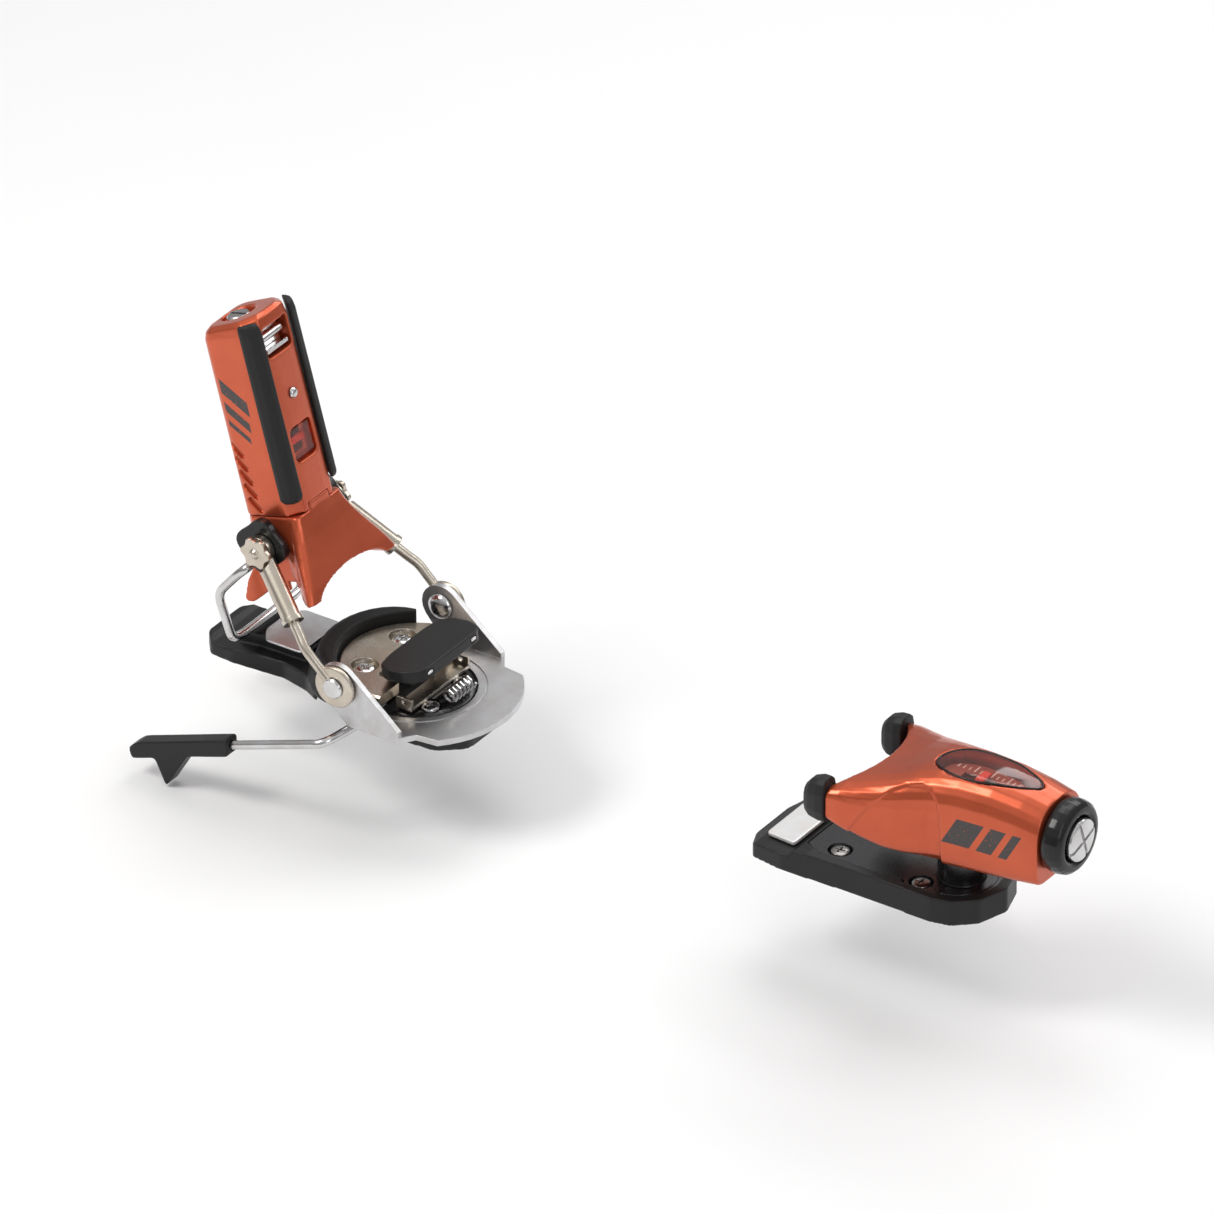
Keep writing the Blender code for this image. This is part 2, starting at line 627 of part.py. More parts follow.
def heel_cup():
    """Flares forward into two claws."""
    rings = [[lever_point(up, f, y) for f, y in mirrored(cup_half(front, w, waist))]
             for up, front, w, waist in CUP_STATIONS]
    cup = loft("heel_cup", rings, ORANGE, smooth=45.0)
    join(cup, lever_box("cup_step", (12.3, 17.6), (-7.7, 7.7), (9.0, 14.9)))
    # arch between the claws, hollow underside
    half_span = 29.6
    arch = []
    for i in range(20):
        t = math.pi * i / 19
        arch.append((-half_span * math.cos(t), -33.0 + 14.6 * math.sin(t) ** 0.8))
    arch += [(half_span, -45.0), (-half_span, -45.0)]
    hollow = [(-16.5, -40), (16.5, -40), (16.5, -13.0), (12.0, -9.5), (-12.0, -9.5),
              (-16.5, -13.0)]
    cut(cup,
        lever_profile("cut_cup_arch", arch, 3.0, 50.0),
        lever_profile("cut_cup_under", hollow, -7.0, 20.0),
        lever_bore("cut_cup_spring", -15, 30, SPRING_BORE),
        lever_box("cut_cup_rear", (-30.0, -1.2), (-45.0, 45.0), (-45.0, -6.6)),
        cross_rod("cut_cup_axle", TOP_X, TOP_Z, 40, AXLE_HOLE))


def lever_link_block():
    """Block below the axle that carries the rear bail's pin."""
    # (up, fwd)
    corners = [(-7.0, -14.4), (-7.0, -1.6), (-20.0, -3.6), (-31.0, -17.0), (-35.5, -25.0),
               (-34.5, -29.6), (-24.0, -25.0), (-15.0, -18.0)]
    outline = [lever_point(up, fwd)[::2] for up, fwd in corners]
    link = centred_plate("lever_link_block", rounded(outline, 2.0, 2), 29.0, ORANGE)
    cut(link, cross_rod("cut_link_pin", BAIL_X, BAIL_Z, 20, 2.6, seg=16))


def edge_strips():
    """Rubber strips on the housing's front corners."""
    # (fwd, y) of the section, scaled about its centre
    section = [(10.2, 18.25), (17.2, 12.0), (18.5, 11.5), (19.1, 12.3), (18.7, 15.7),
               (16.5, 18.3), (12.5, 19.3), (10.4, 19.0)]
    cf, cy = 14.6, 15.6
    # up, scale of the section, setback
    stations = [(18.5, 0.72, -0.2), (20.5, 1.0, 0.0), (60, 1.0, 0.0), (104.0, 1.0, 0.0),
                (107.6, 0.94, 0.5), (109.4, 0.75, 1.0)]
    for side, tag in SIDES:
        rings = [[lever_point(up, cf + (f - cf) * k - back, side * (cy + (y - cy) * k))
                  for f, y in section] for up, k, back in stations]
        loft("edge_strip_" + tag, rings, RUBBER)


def spring_yoke():
    """Chrome yoke in the upper front opening."""
    half_w, low = 8.3, 90.8
    yoke = lever_profile("spring_yoke", rectangle(half_w, low, 102.4), 9.6, 11.6, STEEL)
    join(yoke,
         lever_profile("yoke_lip", rectangle(half_w, low, low + 2.0), 10.6, 16.2),
         rod("yoke_roll", lever_point(98.0, 12.4, -8.0), lever_point(98.0, 12.4, 8.0), 2.5,
             seg=18))


def front_rivet():
    profile = [(0, 19.8), (1.6, 19.6), (2.5, 18.9), (2.7, 18.1), (1.4, 18.0), (1.4, 13.0),
               (0, 13.0)]
    turned("front_rivet", profile, lever_point(RIVET_UP, 0.0), STEEL, (0, 90 - TILT, 0), 16)


def heel_indicator():
    """Clear window and the sliding indicator behind it."""
    lever_box("indicator_window", (15.4, 16.4), (-7.1, 7.1), (36.4, 51.1), CLEAR, 0.3)
    lever_box("heel_indicator", (11.0, 13.0), (-6.2, 6.2), (42.0, 45.5), RED, 0.3)


def heel_spring():
    """Release spring, its follower and the setting screw."""
    coil = helix(6.9, 6.5, SPRING_BOTTOM, SPRING_TOP - SPRING_BOTTOM - 2.6, 66)
    wire("heel_spring", [lever_point(up, SPRING_FWD + f, y) for f, y, up in coil], 1.2,
         STEEL, res=1)
    foot = lever_point(0, SPRING_FWD)
    piston = [(0, 29.4), (8.4, 29.4), (8.9, 28.8), (8.9, 24.0), (0, 24.0)]
    turned("heel_piston", piston, foot, STEEL, UP_LEAN)
    profile = [(0, 107.6), (4.9, 107.6), (5.9, 106.6), (5.9, 91.0), (8.6, 90.8),
               (8.6, SPRING_TOP), (0, SPRING_TOP)]
    screw = turned("heel_setting_screw", profile, foot, STEEL, UP_LEAN)
    cut(screw, lever_box("cut_screw_slot", (SPRING_FWD - 4.6, SPRING_FWD + 4.6), (-0.9, 0.9),
                         (105.4, 112)))


def rear_bail():
    """Round-cornered bar: open at the pin in the link block, crossbar over the tail."""
    half = [(BAIL_X, 12.0, BAIL_Z), (BAIL_X, 24.0, BAIL_Z), (BAIL_X - 0.8, 27.0, BAIL_Z - 0.8),
            (BAIL_X - 4.5, 28.6, BAIL_Z - 4.6), (-89.6, 28.8, 46.6), (-91.6, 28.8, 43.6),
            (-91.4, 28.8, 40.0), (-84.6, 28.6, 22.4), (-83.6, 27.2, 20.6), (-83.0, 24.6, 19.8)]
    wire("rear_bail", [(x, -y, z) for x, y, z in half] + half[::-1], 2.2, STEEL, res=2)


# =====================================================================
# BRAKE: pad, carrier, two arms with feet, return spring
# =====================================================================
PAD_TILT = 8.0                   # front up, degrees
PAD_FRAME = at(8.5, 0, 27.6) @ Matrix.Rotation(math.radians(-PAD_TILT), 4, 'Y')
FOOT_Y, FOOT_T = 55.4, 8.6       # centre and thickness of a brake foot


def brake_pad():
    half = [(12.6, -20.5), (10.5, -24.8), (4.0, -28.0), (-6.0, -28.0), (-11.0, -24.5),
            (-12.8, -15.0)]
    pad = plate("brake_pad", rounded(mirrored(half), 2.0, 2), 6.0, BLACK, frame=PAD_FRAME)
    add_bevel(pad, 1.2, 2, 50)
    for side, tag in SIDES:
        slot = box("cut_pad_slot_" + tag, (9.5, side * 15.5, 1.8), (16, side * 20.0, 4.2))
        slot.matrix_world = PAD_FRAME
        cut(pad, slot)
    carrier = [(-2.5, 21.8), (9.5, 20.6), (13.5, 23.8), (14.5, 26.5), (14.3, 29.6),
               (-4.5, 27.4)]
    join(pad, centred_plate("pad_carrier", rounded(carrier, 1.0, 1), 37.0))
    return pad


def brake_arm(side, tag, pad):
    """Bent wire from the pad carrier down to the hinge, out and back, seated in the pad."""
    points = [(9.0, 13.0, 24.2), (4.0, 13.0, 21.6), (-4.4, 13.0, 15.0), (-6.4, 13.0, 12.4),
              (BRAKE_X, 13.2, 6.8), (BRAKE_X, 14.2, 4.2), (BRAKE_X, 16.0, BRAKE_Z),
              (BRAKE_X, 33.0, BRAKE_Z), (BRAKE_X - 0.4, 35.5, BRAKE_Z - 0.1),
              (-13.4, 52.0, 0.8), (-14.8, 54.4, 0.2), (-18.0, FOOT_Y, -1.0),
              (-66.0, FOOT_Y, -17.9), (-92.0, FOOT_Y, -27.0)]
    points = [(x, side * y, z) for x, y, z in points]
    wire("brake_wire_" + tag, points, 2.2, STEEL, res=2)
    cut(pad, wire("cut_carrier_seat_" + tag, points[:4], 2.55, res=2))


def brake_foot(side, tag):
    """Sleeve over the arm's end with a hooked fang."""
    outline = [(-66.0, -13.6), (-65.4, -22.4), (-89.0, -30.4), (-101.0, -50.5),
               (-107.5, -37.4), (-120.5, -42.0), (-122.4, -36.4), (-117.5, -32.2)]
    foot = side_plate("brake_foot_" + tag, rounded(outline, 1.8, 2), side,
                      FOOT_Y - FOOT_T / 2, FOOT_T, BLACK)
    add_bevel(foot, 1.3, 2, 50)
    y = side * FOOT_Y
    bore = [(-50.0, y, -12.27), (-66.0, y, -17.9), (-93.0, y, -27.35)]
    cut(foot, wire("cut_foot_bore_" + tag, bore, 2.6, res=2))


def brake():
    pad = brake_pad()
    for side, tag in SIDES:
        brake_arm(side, tag, pad)
        brake_foot(side, tag)
    coil = [(24.4 + u, y, 15.4 + v) for u, v, y in helix(3.3, 6, -9.0, 18.0, 48)]
    wire("brake_spring", coil, 0.75, STEEL, res=1)


# =====================================================================
# TOE
# =====================================================================
POCKET_Z = 7.4                   # floor of the pocket in the toe base
WINDOW_Z = 62.0                  # underside of the window blank and its cutter
FACING_FORWARD = (0, 90, 0)      # turns a profile's heights into X
ON_SCREW_AXIS = (0, 0, SCREW_Z)


def toe_base():
    half = [(199.0, -13.5), (204.8, -25.4), (222.0, -28.0), (262.0, -26.6), (303.0, -27.2),
            (313.0, -25.0), (323.0, -16.0), (328.0, 0.0)]
    base = plate("toe_base", rounded(mirrored(half), 1.4, 3), 13.0, BLACK)
    # (x, z) of the space above the low rear end
    above = [(196, 14.5), (196, 4.5), (200.0, 5.0), (206.0, 7.6), (226.0, 9.2),
             (228.5, 11.6), (236.0, 13.2), (240.0, 14.5)]
    pocket = [(229.0, -16.5), (238.5, -21.8), (276.0, -22.0), (276.0, -19.6),
              (284.0, -19.6), (284.0, -22.0), (303.0, -22.8), (315.0, -17.5),
              (321.0, -9.0), (322.6, 0.0)]
    cut(base,
        centred_plate("cut_toe_top", above, 80.0),
        plate("cut_toe_pocket", mirrored(pocket), 20.0, frame=at(0, 0, POCKET_Z)))
    for i, (x, y) in enumerate(TOE_SCREWS):
        cut(base, rod("cut_toe_base_hole_%d" % i, (x, y, -2), (x, y, 12), 2.95, seg=16))


def toe_plate():
    half = [(229.5, -15.9), (238.9, -21.3), (275.6, -21.5), (275.6, -19.1), (284.4, -19.1),
            (284.4, -21.6), (302.8, -22.3), (314.6, -17.1), (320.5, -8.8), (322.1, 0.0)]
    floor = plate("toe_plate", mirrored(half), 3.6, DARK, frame=at(0, 0, POCKET_Z + GAP))
    seat = [(0, 20), (6.0, 20), (6.0, 10.9), (5.3, 9.0), (2.95, 8.9), (2.95, -2), (0, -2)]
    for i, (x, y) in enumerate(TOE_SCREWS):
        cut(floor, turned("cut_toe_screw_%d" % i, seat, (x, y, 0), steps=16))
        mount_screw("toe_mount_screw_%d" % (i + 1), x, y, 11.5)


def slide_plate():
    """Low-friction slide at the toe's rear, front edge raised."""
    outline = [(-8.5, -17.0), (8.5, -20.0), (8.5, 20.0), (-8.5, 17.0)]
    frame = at(216.0, 0, 8.9) @ Matrix.Rotation(math.radians(-4.6), 4, 'Y')
    slide = plate("slide_plate", rounded(outline, 1.6, 2), 2.0, SATIN, frame=frame)
    add_bevel(slide, 0.4, 1, 50)


def swivel_post():
    profile = [(0, 39.5), (7.6, 39.5), (8.2, 38.9), (8.2, 30.0), (10.6, 29.8), (11.2, 29.0),
               (11.2, 12.6), (11.8, 11.6), (0, 11.6)]
    turned("swivel_post", profile, (TOE_X, 0, 0), DARK)


# x, half width, bottom z, top z, exponent of the upper corners
TOE_STATIONS = [
    (252.0, 37.2, 41.0, 59.5, 5.0), (258.0, 36.6, 38.0, 61.4, 4.6),
    (267.0, 34.4, 33.6, 63.4, 4.2), (277.0, 31.2, 29.6, 66.2, 3.8),
    (288.0, 27.6, 27.6, 70.2, 3.4), (299.0, 24.4, 27.2, 73.2, 3.1),
    (311.0, 22.4, 27.4, 75.0, 2.9), (328.0, 20.8, 28.4, 75.4, 2.8),
    (344.0, 19.8, 29.8, 73.8, 2.7), (355.5, 19.0, 31.2, 71.4, 2.6)]


def toe_section(w, z0, z1, upper, n=28):
    """Closed (y, z) rounded rectangle, squarer below, softer above."""
    out = []
    for i in range(n):
        t = 2 * math.pi * (i + 0.5) / n
        c, s = math.cos(t), math.sin(t)
        power = 2 / (upper if s > 0 else 7.0)
        out.append((w * signed_power(c, power),
                    (z0 + z1) / 2 + (z1 - z0) / 2 * signed_power(s, power)))
    return out


def toe_rings(inset=0.0, drop=0.0):
    """Toe body sections, sides and top moved in by `inset`, bottom lowered by `drop`."""
    return [[(x, y, z) for y, z in toe_section(w - inset, z0 - drop, z1 - inset, upper)]
            for x, w, z0, z1, upper in TOE_STATIONS]


def teardrop(grow, n=26):
    """Window outline in plan: round at the rear, narrower toward the front."""
    out = []
    for i in range(n):
        t = 2 * math.pi * i / n
        ahead = (1 - math.cos(t)) / 2            # 0 at the rear, 1 at the front
        x = 318.5 - (28.5 + grow) * math.cos(t)
        y = (16.4 + grow) * math.sin(t) * (1.0 - 0.34 * ahead - 0.16 * ahead ** 2)
        out.append((x, y))
    return out


def toe_body():
    body = loft("toe_body", toe_rings(), ORANGE, smooth=40.0)
    cavity = [(0, 90), (50.5, 90), (48.5, 20), (0, 20)]
    post = [(0, 40.2), (8.6, 40.2), (8.6, 30.7), (12.2, 30.7), (12.2, 18), (0, 18)]
    cut(body,
        turned("cut_toe_cavity", cavity, (214.0, 0, 0), steps=48),
        turned("cut_post_bore", post, (TOE_X, 0, 0), steps=28),
        rod("cut_toe_spring", (301.0, 0, SCREW_Z), (370, 0, SCREW_Z), 11.2, seg=30),
        plate("cut_window", teardrop(0.0), 30.0, frame=at(0, 0, WINDOW_Z)))


def toe_window():
    """Thin shell following the body's top inside the teardrop."""
    window = plate("toe_window", teardrop(-0.35), 20.0, CLEAR, frame=at(0, 0, WINDOW_Z))
    boolean(window, 'INTERSECT', [loft("win_outer", toe_rings(0.2))])
    cut(window, loft("win_inner", toe_rings(1.6, 8)))


def toe_scale():
    """Scale plate under the window, and the sliding pointer above it."""
    scale = plate("toe_scale", teardrop(-3.0), 1.0, DARK, frame=at(0, 0, 64.6))
    cut(scale, box("cut_scale", (303, -2.4, 60), (338, 2.4, 70)))
    box("toe_indicator", (312.0, -4.2, 66.8), (316.5, 4.2, 68.6), RED, 0.4)


def toe_spring():
    """Release spring and the piston behind it."""
    piston = [(0, 306.8), (10.0, 306.8), (10.7, 306.0), (10.7, 302.0), (0, 302.0)]
    turned("toe_piston", piston, ON_SCREW_AXIS, STEEL, FACING_FORWARD)
    coil = [(x, y, SCREW_Z + z) for y, z, x in helix(8.6, 6, 308.4, 41.0, 60)]
    wire("toe_spring", coil, 1.3, STEEL, res=1)


def toe_setting_screw():
    profile = [(0, 369.2), (8.6, 369.0), (10.2, 368.2), (10.7, 367.0), (10.7, 357.2),
               (10.9, 357.0), (10.9, 351.4), (4.0, 351.2), (4.0, 326.0), (0, 326.0)]
    screw = turned("toe_setting_screw", profile, ON_SCREW_AXIS, STEEL, FACING_FORWARD, 30)
    for k in range(2):
        slot = box("cut_head_slot_%d" % k, (367.6, -0.9, -14.0), (372.0, 0.9, 14.0))
        turn = Matrix.Rotation(math.radians(18 + 90 * k), 4, 'X')
        slot.matrix_world = at(*ON_SCREW_AXIS) @ turn
        cut(screw, slot)


def toe_bezel():
    """Rubber ring around the setting screw's head."""
    profile = [(11.4, 366.0), (13.2, 367.0), (15.8, 366.6), (17.6, 364.8), (18.2, 362.0),
               (18.2, 359.0), (17.6, 356.6), (16.4, 355.9), (11.4, 355.9), (11.4, 366.0)]
    turned("toe_bezel", profile, ON_SCREW_AXIS, RUBBER, FACING_FORWARD, 28)


def lip_ring(side, x, y0, y1, z0, z1, n=12):
    out = []
    for i in range(n):
        t = 2 * math.pi * (i + 0.5) / n
        out.append((x, side * ((y0 + y1) / 2 + (y1 - y0) / 2 * signed_power(math.cos(t), 0.7)),
                    (z0 + z1) / 2 + (z1 - z0) / 2 * signed_power(math.sin(t), 0.7)))
    return out


def wing_lips():
    """Rubber pads at the rear ends of the toe body."""
    # x, inner y, outer y, bottom z, top z
    stations = [(238.8, 30.4, 34.6, 44.4, 52.6), (240.0, 28.0, 36.6, 41.4, 56.8),
                (243.0, 26.4, 38.2, 39.4, 60.4), (247.5, 25.8, 38.9, 38.8, 62.3),
                (251.7, 26.4, 38.7, 39.2, 62.6)]
    for side, tag in SIDES:
        loft("wing_lip_" + tag, [lip_ring(side, *row) for row in stations], RUBBER, 60)


# =====================================================================
# JOINT PARENTS: one empty on each joint's axis, holding what moves there
# =====================================================================
HEEL_SCREW = lever_point(90.0, SPRING_FWD)
JOINTS = [
    ("axis_turntable", (0, 0, 7.5),
     "turntable_fork heel_rest tail_body tail_plate ear_rivet_l ear_rivet_r"),
    ("axis_arms", (EAR_X, 0, EAR_Z),
     "arm_rod_l arm_rod_r adjuster_sleeve_l adjuster_sleeve_r arm_axle star_cap_l star_cap_r"),
    ("axis_lever", (TOP_X, 0, TOP_Z),
     "heel_housing heel_cup lever_link_block edge_strip_l edge_strip_r spring_yoke "
     "front_rivet indicator_window hub_cover_l hub_cover_r heel_spring"),
    ("axis_heel_screw", HEEL_SCREW, "heel_setting_screw"),
    ("axis_heel_pointer", HEEL_SCREW, "heel_indicator"),
    ("axis_heel_follower", HEEL_SCREW, "heel_piston"),
    ("axis_bail", (BAIL_X, 0, BAIL_Z), "rear_bail"),
    ("axis_brake", (BRAKE_X, 0, BRAKE_Z),
     "brake_pad brake_wire_l brake_wire_r brake_foot_l brake_foot_r"),
    ("axis_toe_wing", (TOE_X, 0, 30.0),
     "toe_body wing_lip_l wing_lip_r toe_window toe_scale toe_spring toe_piston toe_bezel"),
    ("axis_toe_screw", (360.0, 0, SCREW_Z), "toe_setting_screw"),
    ("axis_toe_pointer", (314.0, 0, 67.7), "toe_indicator")]


def joint_parent(name, location, members):
    empty = bpy.data.objects.new(name, None)
    empty.empty_display_size = 0.01
    bpy.context.scene.collection.objects.link(empty)
    empty.matrix_world = at(*location)
    bpy.context.view_layer.update()
    for member in members.split():
        ob = bpy.data.objects[member]
        world = ob.matrix_world.copy()
        ob.parent = empty
        ob.matrix_parent_inverse = empty.matrix_world.inverted()
        ob.matrix_world = world


for build in (
        heel_base, turntable_disc, front_hub_plate, heel_screws, brake_bracket,
        turntable_fork, heel_rest, tail_body, tail_plate, arms,
        heel_housing, heel_cup, lever_link_block, edge_strips, spring_yoke, front_rivet,
        heel_indicator, heel_spring, rear_bail, brake,
        toe_base, toe_plate, slide_plate, swivel_post, toe_body, toe_window, toe_scale,
        toe_spring, toe_setting_screw, toe_bezel, wing_lips):
    build()
for joint in JOINTS:
    joint_parent(*joint)
bpy.context.view_layer.update()
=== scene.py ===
"""Alpine ski binding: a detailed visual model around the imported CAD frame.

The binding lies along X, heel to toe, with +Y left and +Z up. Materials, the camera and the
lights are in metres; the extra pieces are laid out in millimetres and scaled as they are meshed.
"""
import json
import math
from functools import cache

import bmesh
import bpy
from mathutils import Matrix, Vector
from mathutils.bvhtree import BVHTree

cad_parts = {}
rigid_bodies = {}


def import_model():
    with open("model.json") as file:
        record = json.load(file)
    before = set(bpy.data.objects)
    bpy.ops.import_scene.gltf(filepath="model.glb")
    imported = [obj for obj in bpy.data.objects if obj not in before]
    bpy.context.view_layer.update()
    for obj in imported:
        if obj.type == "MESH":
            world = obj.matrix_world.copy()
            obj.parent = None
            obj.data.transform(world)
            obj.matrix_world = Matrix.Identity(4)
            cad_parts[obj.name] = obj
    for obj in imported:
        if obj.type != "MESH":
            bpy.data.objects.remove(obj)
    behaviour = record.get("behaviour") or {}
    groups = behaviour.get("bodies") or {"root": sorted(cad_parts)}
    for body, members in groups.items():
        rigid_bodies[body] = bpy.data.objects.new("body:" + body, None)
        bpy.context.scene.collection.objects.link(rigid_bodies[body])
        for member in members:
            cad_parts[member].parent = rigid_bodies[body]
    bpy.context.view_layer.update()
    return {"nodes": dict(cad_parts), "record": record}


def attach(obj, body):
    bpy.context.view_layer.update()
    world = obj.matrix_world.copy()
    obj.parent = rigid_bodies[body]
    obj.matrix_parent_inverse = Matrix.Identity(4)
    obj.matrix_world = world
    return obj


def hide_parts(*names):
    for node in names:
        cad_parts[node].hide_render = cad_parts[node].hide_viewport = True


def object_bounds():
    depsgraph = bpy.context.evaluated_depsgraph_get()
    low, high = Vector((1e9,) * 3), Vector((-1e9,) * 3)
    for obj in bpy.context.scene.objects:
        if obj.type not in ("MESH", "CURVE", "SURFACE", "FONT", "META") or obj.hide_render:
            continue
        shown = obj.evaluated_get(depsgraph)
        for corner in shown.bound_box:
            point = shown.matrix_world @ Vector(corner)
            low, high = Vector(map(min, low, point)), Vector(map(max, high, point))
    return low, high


MM = 0.001
SIDES = ((1, "l"), (-1, "r"))  # sign of y, name ending


for old in list(bpy.data.objects):
    bpy.data.objects.remove(old)
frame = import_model()
NODES, RECORD = frame["nodes"], frame["record"]
JOINT = {joint["name"]: joint for joint in RECORD["behaviour"]["joints"]}
SLOT = {part["node"]: part["material_slot"] for part in RECORD["subparts"]}
scene = bpy.context.scene

# Lever frame: ALONG the heel housing, FORWARD across it, from the tilt joint
TILT_X, _, TILT_Z = JOINT["lever_tilt"]["pos_m"]
ALONG = Vector(JOINT["heel_screw_turn"]["axis"]).normalized()
FORWARD = Vector((ALONG.z, 0.0, -ALONG.x))
LEVER = Matrix(((FORWARD.x, 0, ALONG.x, TILT_X), (0, 1, 0, 0),
                (FORWARD.z, 0, ALONG.z, TILT_Z), (0, 0, 0, 1)))


# =====================================================================
# Node builder
# =====================================================================
class Net:
    """Builds the node tree of a material or a world."""

    def __init__(self, owner, output="ShaderNodeOutputMaterial"):
        owner.use_nodes = True
        self.owner = owner
        self.tree = owner.node_tree
        self.tree.nodes.clear()
        self.out = self.tree.nodes.new(output)
        self.coords = self.tree.nodes.new("ShaderNodeTexCoord").outputs

    def put(self, socket, value):
        """Links or sets one input; None leaves it alone, an RGB colour gains its alpha."""
        if value is None:
            return
        if isinstance(value, bpy.types.NodeSocket):
            self.tree.links.new(value, socket)
        elif isinstance(value, tuple) and len(value) == 3 and socket.type == "RGBA":
            socket.default_value = (*value, 1.0)
        else:
            socket.default_value = value

    def node(self, kind, inputs=None, **attrs):
        node = self.tree.nodes.new(kind)
        for key, value in attrs.items():
            setattr(node, key, value)
        for key, value in (inputs or {}).items():
            self.put(node.inputs[key], value)
        return node

    def math(self, operation, a, b=0.0):
        return self.node("ShaderNodeMath", {0: a, 1: b}, operation=operation).outputs[0]

    def mul(self, value, by):
        return self.math("MULTIPLY", value, by)

    def add(self, value, plus):
        return self.math("ADD", value, plus)

    def noise(self, scale, detail=3.0, rough=0.55, vector=None):
        return self.node("ShaderNodeTexNoise", {
            "Vector": vector or self.coords["Object"], "Scale": scale, "Detail": detail,
            "Roughness": rough}).outputs["Fac"]

    def voronoi(self, scale, vector=None, feature="F1"):
        return self.node("ShaderNodeTexVoronoi", {
            "Vector": vector or self.coords["Object"], "Scale": scale},
            feature=feature).outputs["Distance"]

    def ramp(self, value, span, to=(0.0, 1.0)):
        """Maps the span of a value to another range, clamped."""
        return self.node("ShaderNodeMapRange", {
            "Value": value, "From Min": span[0], "From Max": span[1],
            "To Min": to[0], "To Max": to[1]}, clamp=True).outputs[0]

    def band(self, value, span, soft=0.00012):
        """1 inside the span, in metres, with soft edges."""
        low, high = span
        return self.mul(self.ramp(value, (low - soft, low + soft)),
                        self.ramp(value, (high + soft, high - soft)))

    def mix(self, fac, a, b):
        return self.node("ShaderNodeMix", {0: fac, 6: a, 7: b}, data_type="RGBA").outputs[2]

    def stretch(self, scale, rotation=(0, 0, 0)):
        return self.node("ShaderNodeMapping", {
            "Vector": self.coords["Object"], "Scale": scale, "Rotation": rotation}).outputs[0]

    def xyz(self, coord="Object"):
        return self.node("ShaderNodeSeparateXYZ", {"Vector": self.coords[coord]}).outputs[:3]

    def edge(self, radius):
        """(rounded normal, 0..1 mask that rises along edges)."""
        bevel = self.node("ShaderNodeBevel", {"Radius": radius}, samples=3)
        flat = self.node("ShaderNodeNewGeometry").outputs["Normal"]
        dot = self.node("ShaderNodeVectorMath", {0: bevel.outputs[0], 1: flat},
                        operation="DOT_PRODUCT")
        return bevel.outputs[0], self.ramp(dot.outputs["Value"], span=(0.995, 0.86))

    def paler_edges(self, edges, scale, span, amount):
        """Edge mask broken up by noise."""
        broken = self.ramp(self.noise(scale, detail=4.0), span)
        return self.mul(self.mul(edges, broken), by=amount)

    def scratches(self, vector, width, patches):
        """Hairlines between stretched cells, shown only in patches."""
        cells = self.voronoi(1.0, vector, "DISTANCE_TO_EDGE")
        return self.mul(self.ramp(cells, span=(0.0, width), to=(1.0, 0.0)), patches)

    def bump(self, height, distance, strength, normal=None):
        return self.node("ShaderNodeBump", {
            "Height": height, "Distance": distance, "Strength": strength,
            "Normal": normal}).outputs[0]

    def finish(self, shader):
        self.tree.links.new(shader.outputs[0], self.out.inputs[0])
        return self.owner

    def surface(self, **inputs):
        inputs = {name.replace("_", " "): value for name, value in inputs.items()}
        return self.finish(self.node("ShaderNodeBsdfPrincipled", inputs))


def material_net(name):
    return Net(bpy.data.materials.new(name))


# =====================================================================
# Materials
# =====================================================================
def orange(name, mask=None):
    """Metallic orange: flake, soft clear coat, handling marks, paler edges that are partly real
    wear and partly painted highlight, optional print.
    """
    net = material_net(name)
    normal, edges = net.edge(radius=0.0006)
    flake = net.voronoi(scale=5200.0)
    cloud = net.noise(scale=55.0, detail=4.0)
    smear = net.noise(scale=1.0, detail=5.0, rough=0.6, vector=net.stretch((70, 70, 16)))
    base = net.mix(net.ramp(cloud, span=(0.3, 0.7)), (0.500, 0.074, 0.026), (0.560, 0.092, 0.034))
    glint = net.mul(net.ramp(flake, span=(0.05, 0.6)), by=0.20)
    base = net.mix(glint, base, (0.72, 0.17, 0.075))
    # Paler orange along the edges: partly real paint wear, partly a painted highlight on ridges
    # and creases
    paler_edges = net.paler_edges(edges, scale=260.0, span=(0.42, 0.70), amount=0.55)
    base = net.mix(paler_edges, base, (0.80, 0.34, 0.20))
    rough = net.add(net.ramp(smear, span=(0.25, 0.8), to=(0.24, 0.34)), net.mul(flake, by=0.05))
    metallic = 0.72
    if mask is not None:
        # The print is dark, rougher and much less metallic
        printed = mask(net)
        base = net.mix(printed, base, (0.035, 0.028, 0.027))
        metallic = net.math("SUBTRACT", metallic, net.mul(printed, by=0.62))
        rough = net.add(rough, net.mul(printed, by=0.12))
    grain = net.noise(scale=2600.0, detail=2.0)
    return net.surface(Base_Color=base, Metallic=metallic, Roughness=rough, Coat_Weight=0.35,
                       Coat_Roughness=0.16,
                       Normal=net.bump(grain, distance=0.00003, strength=0.35, normal=normal))


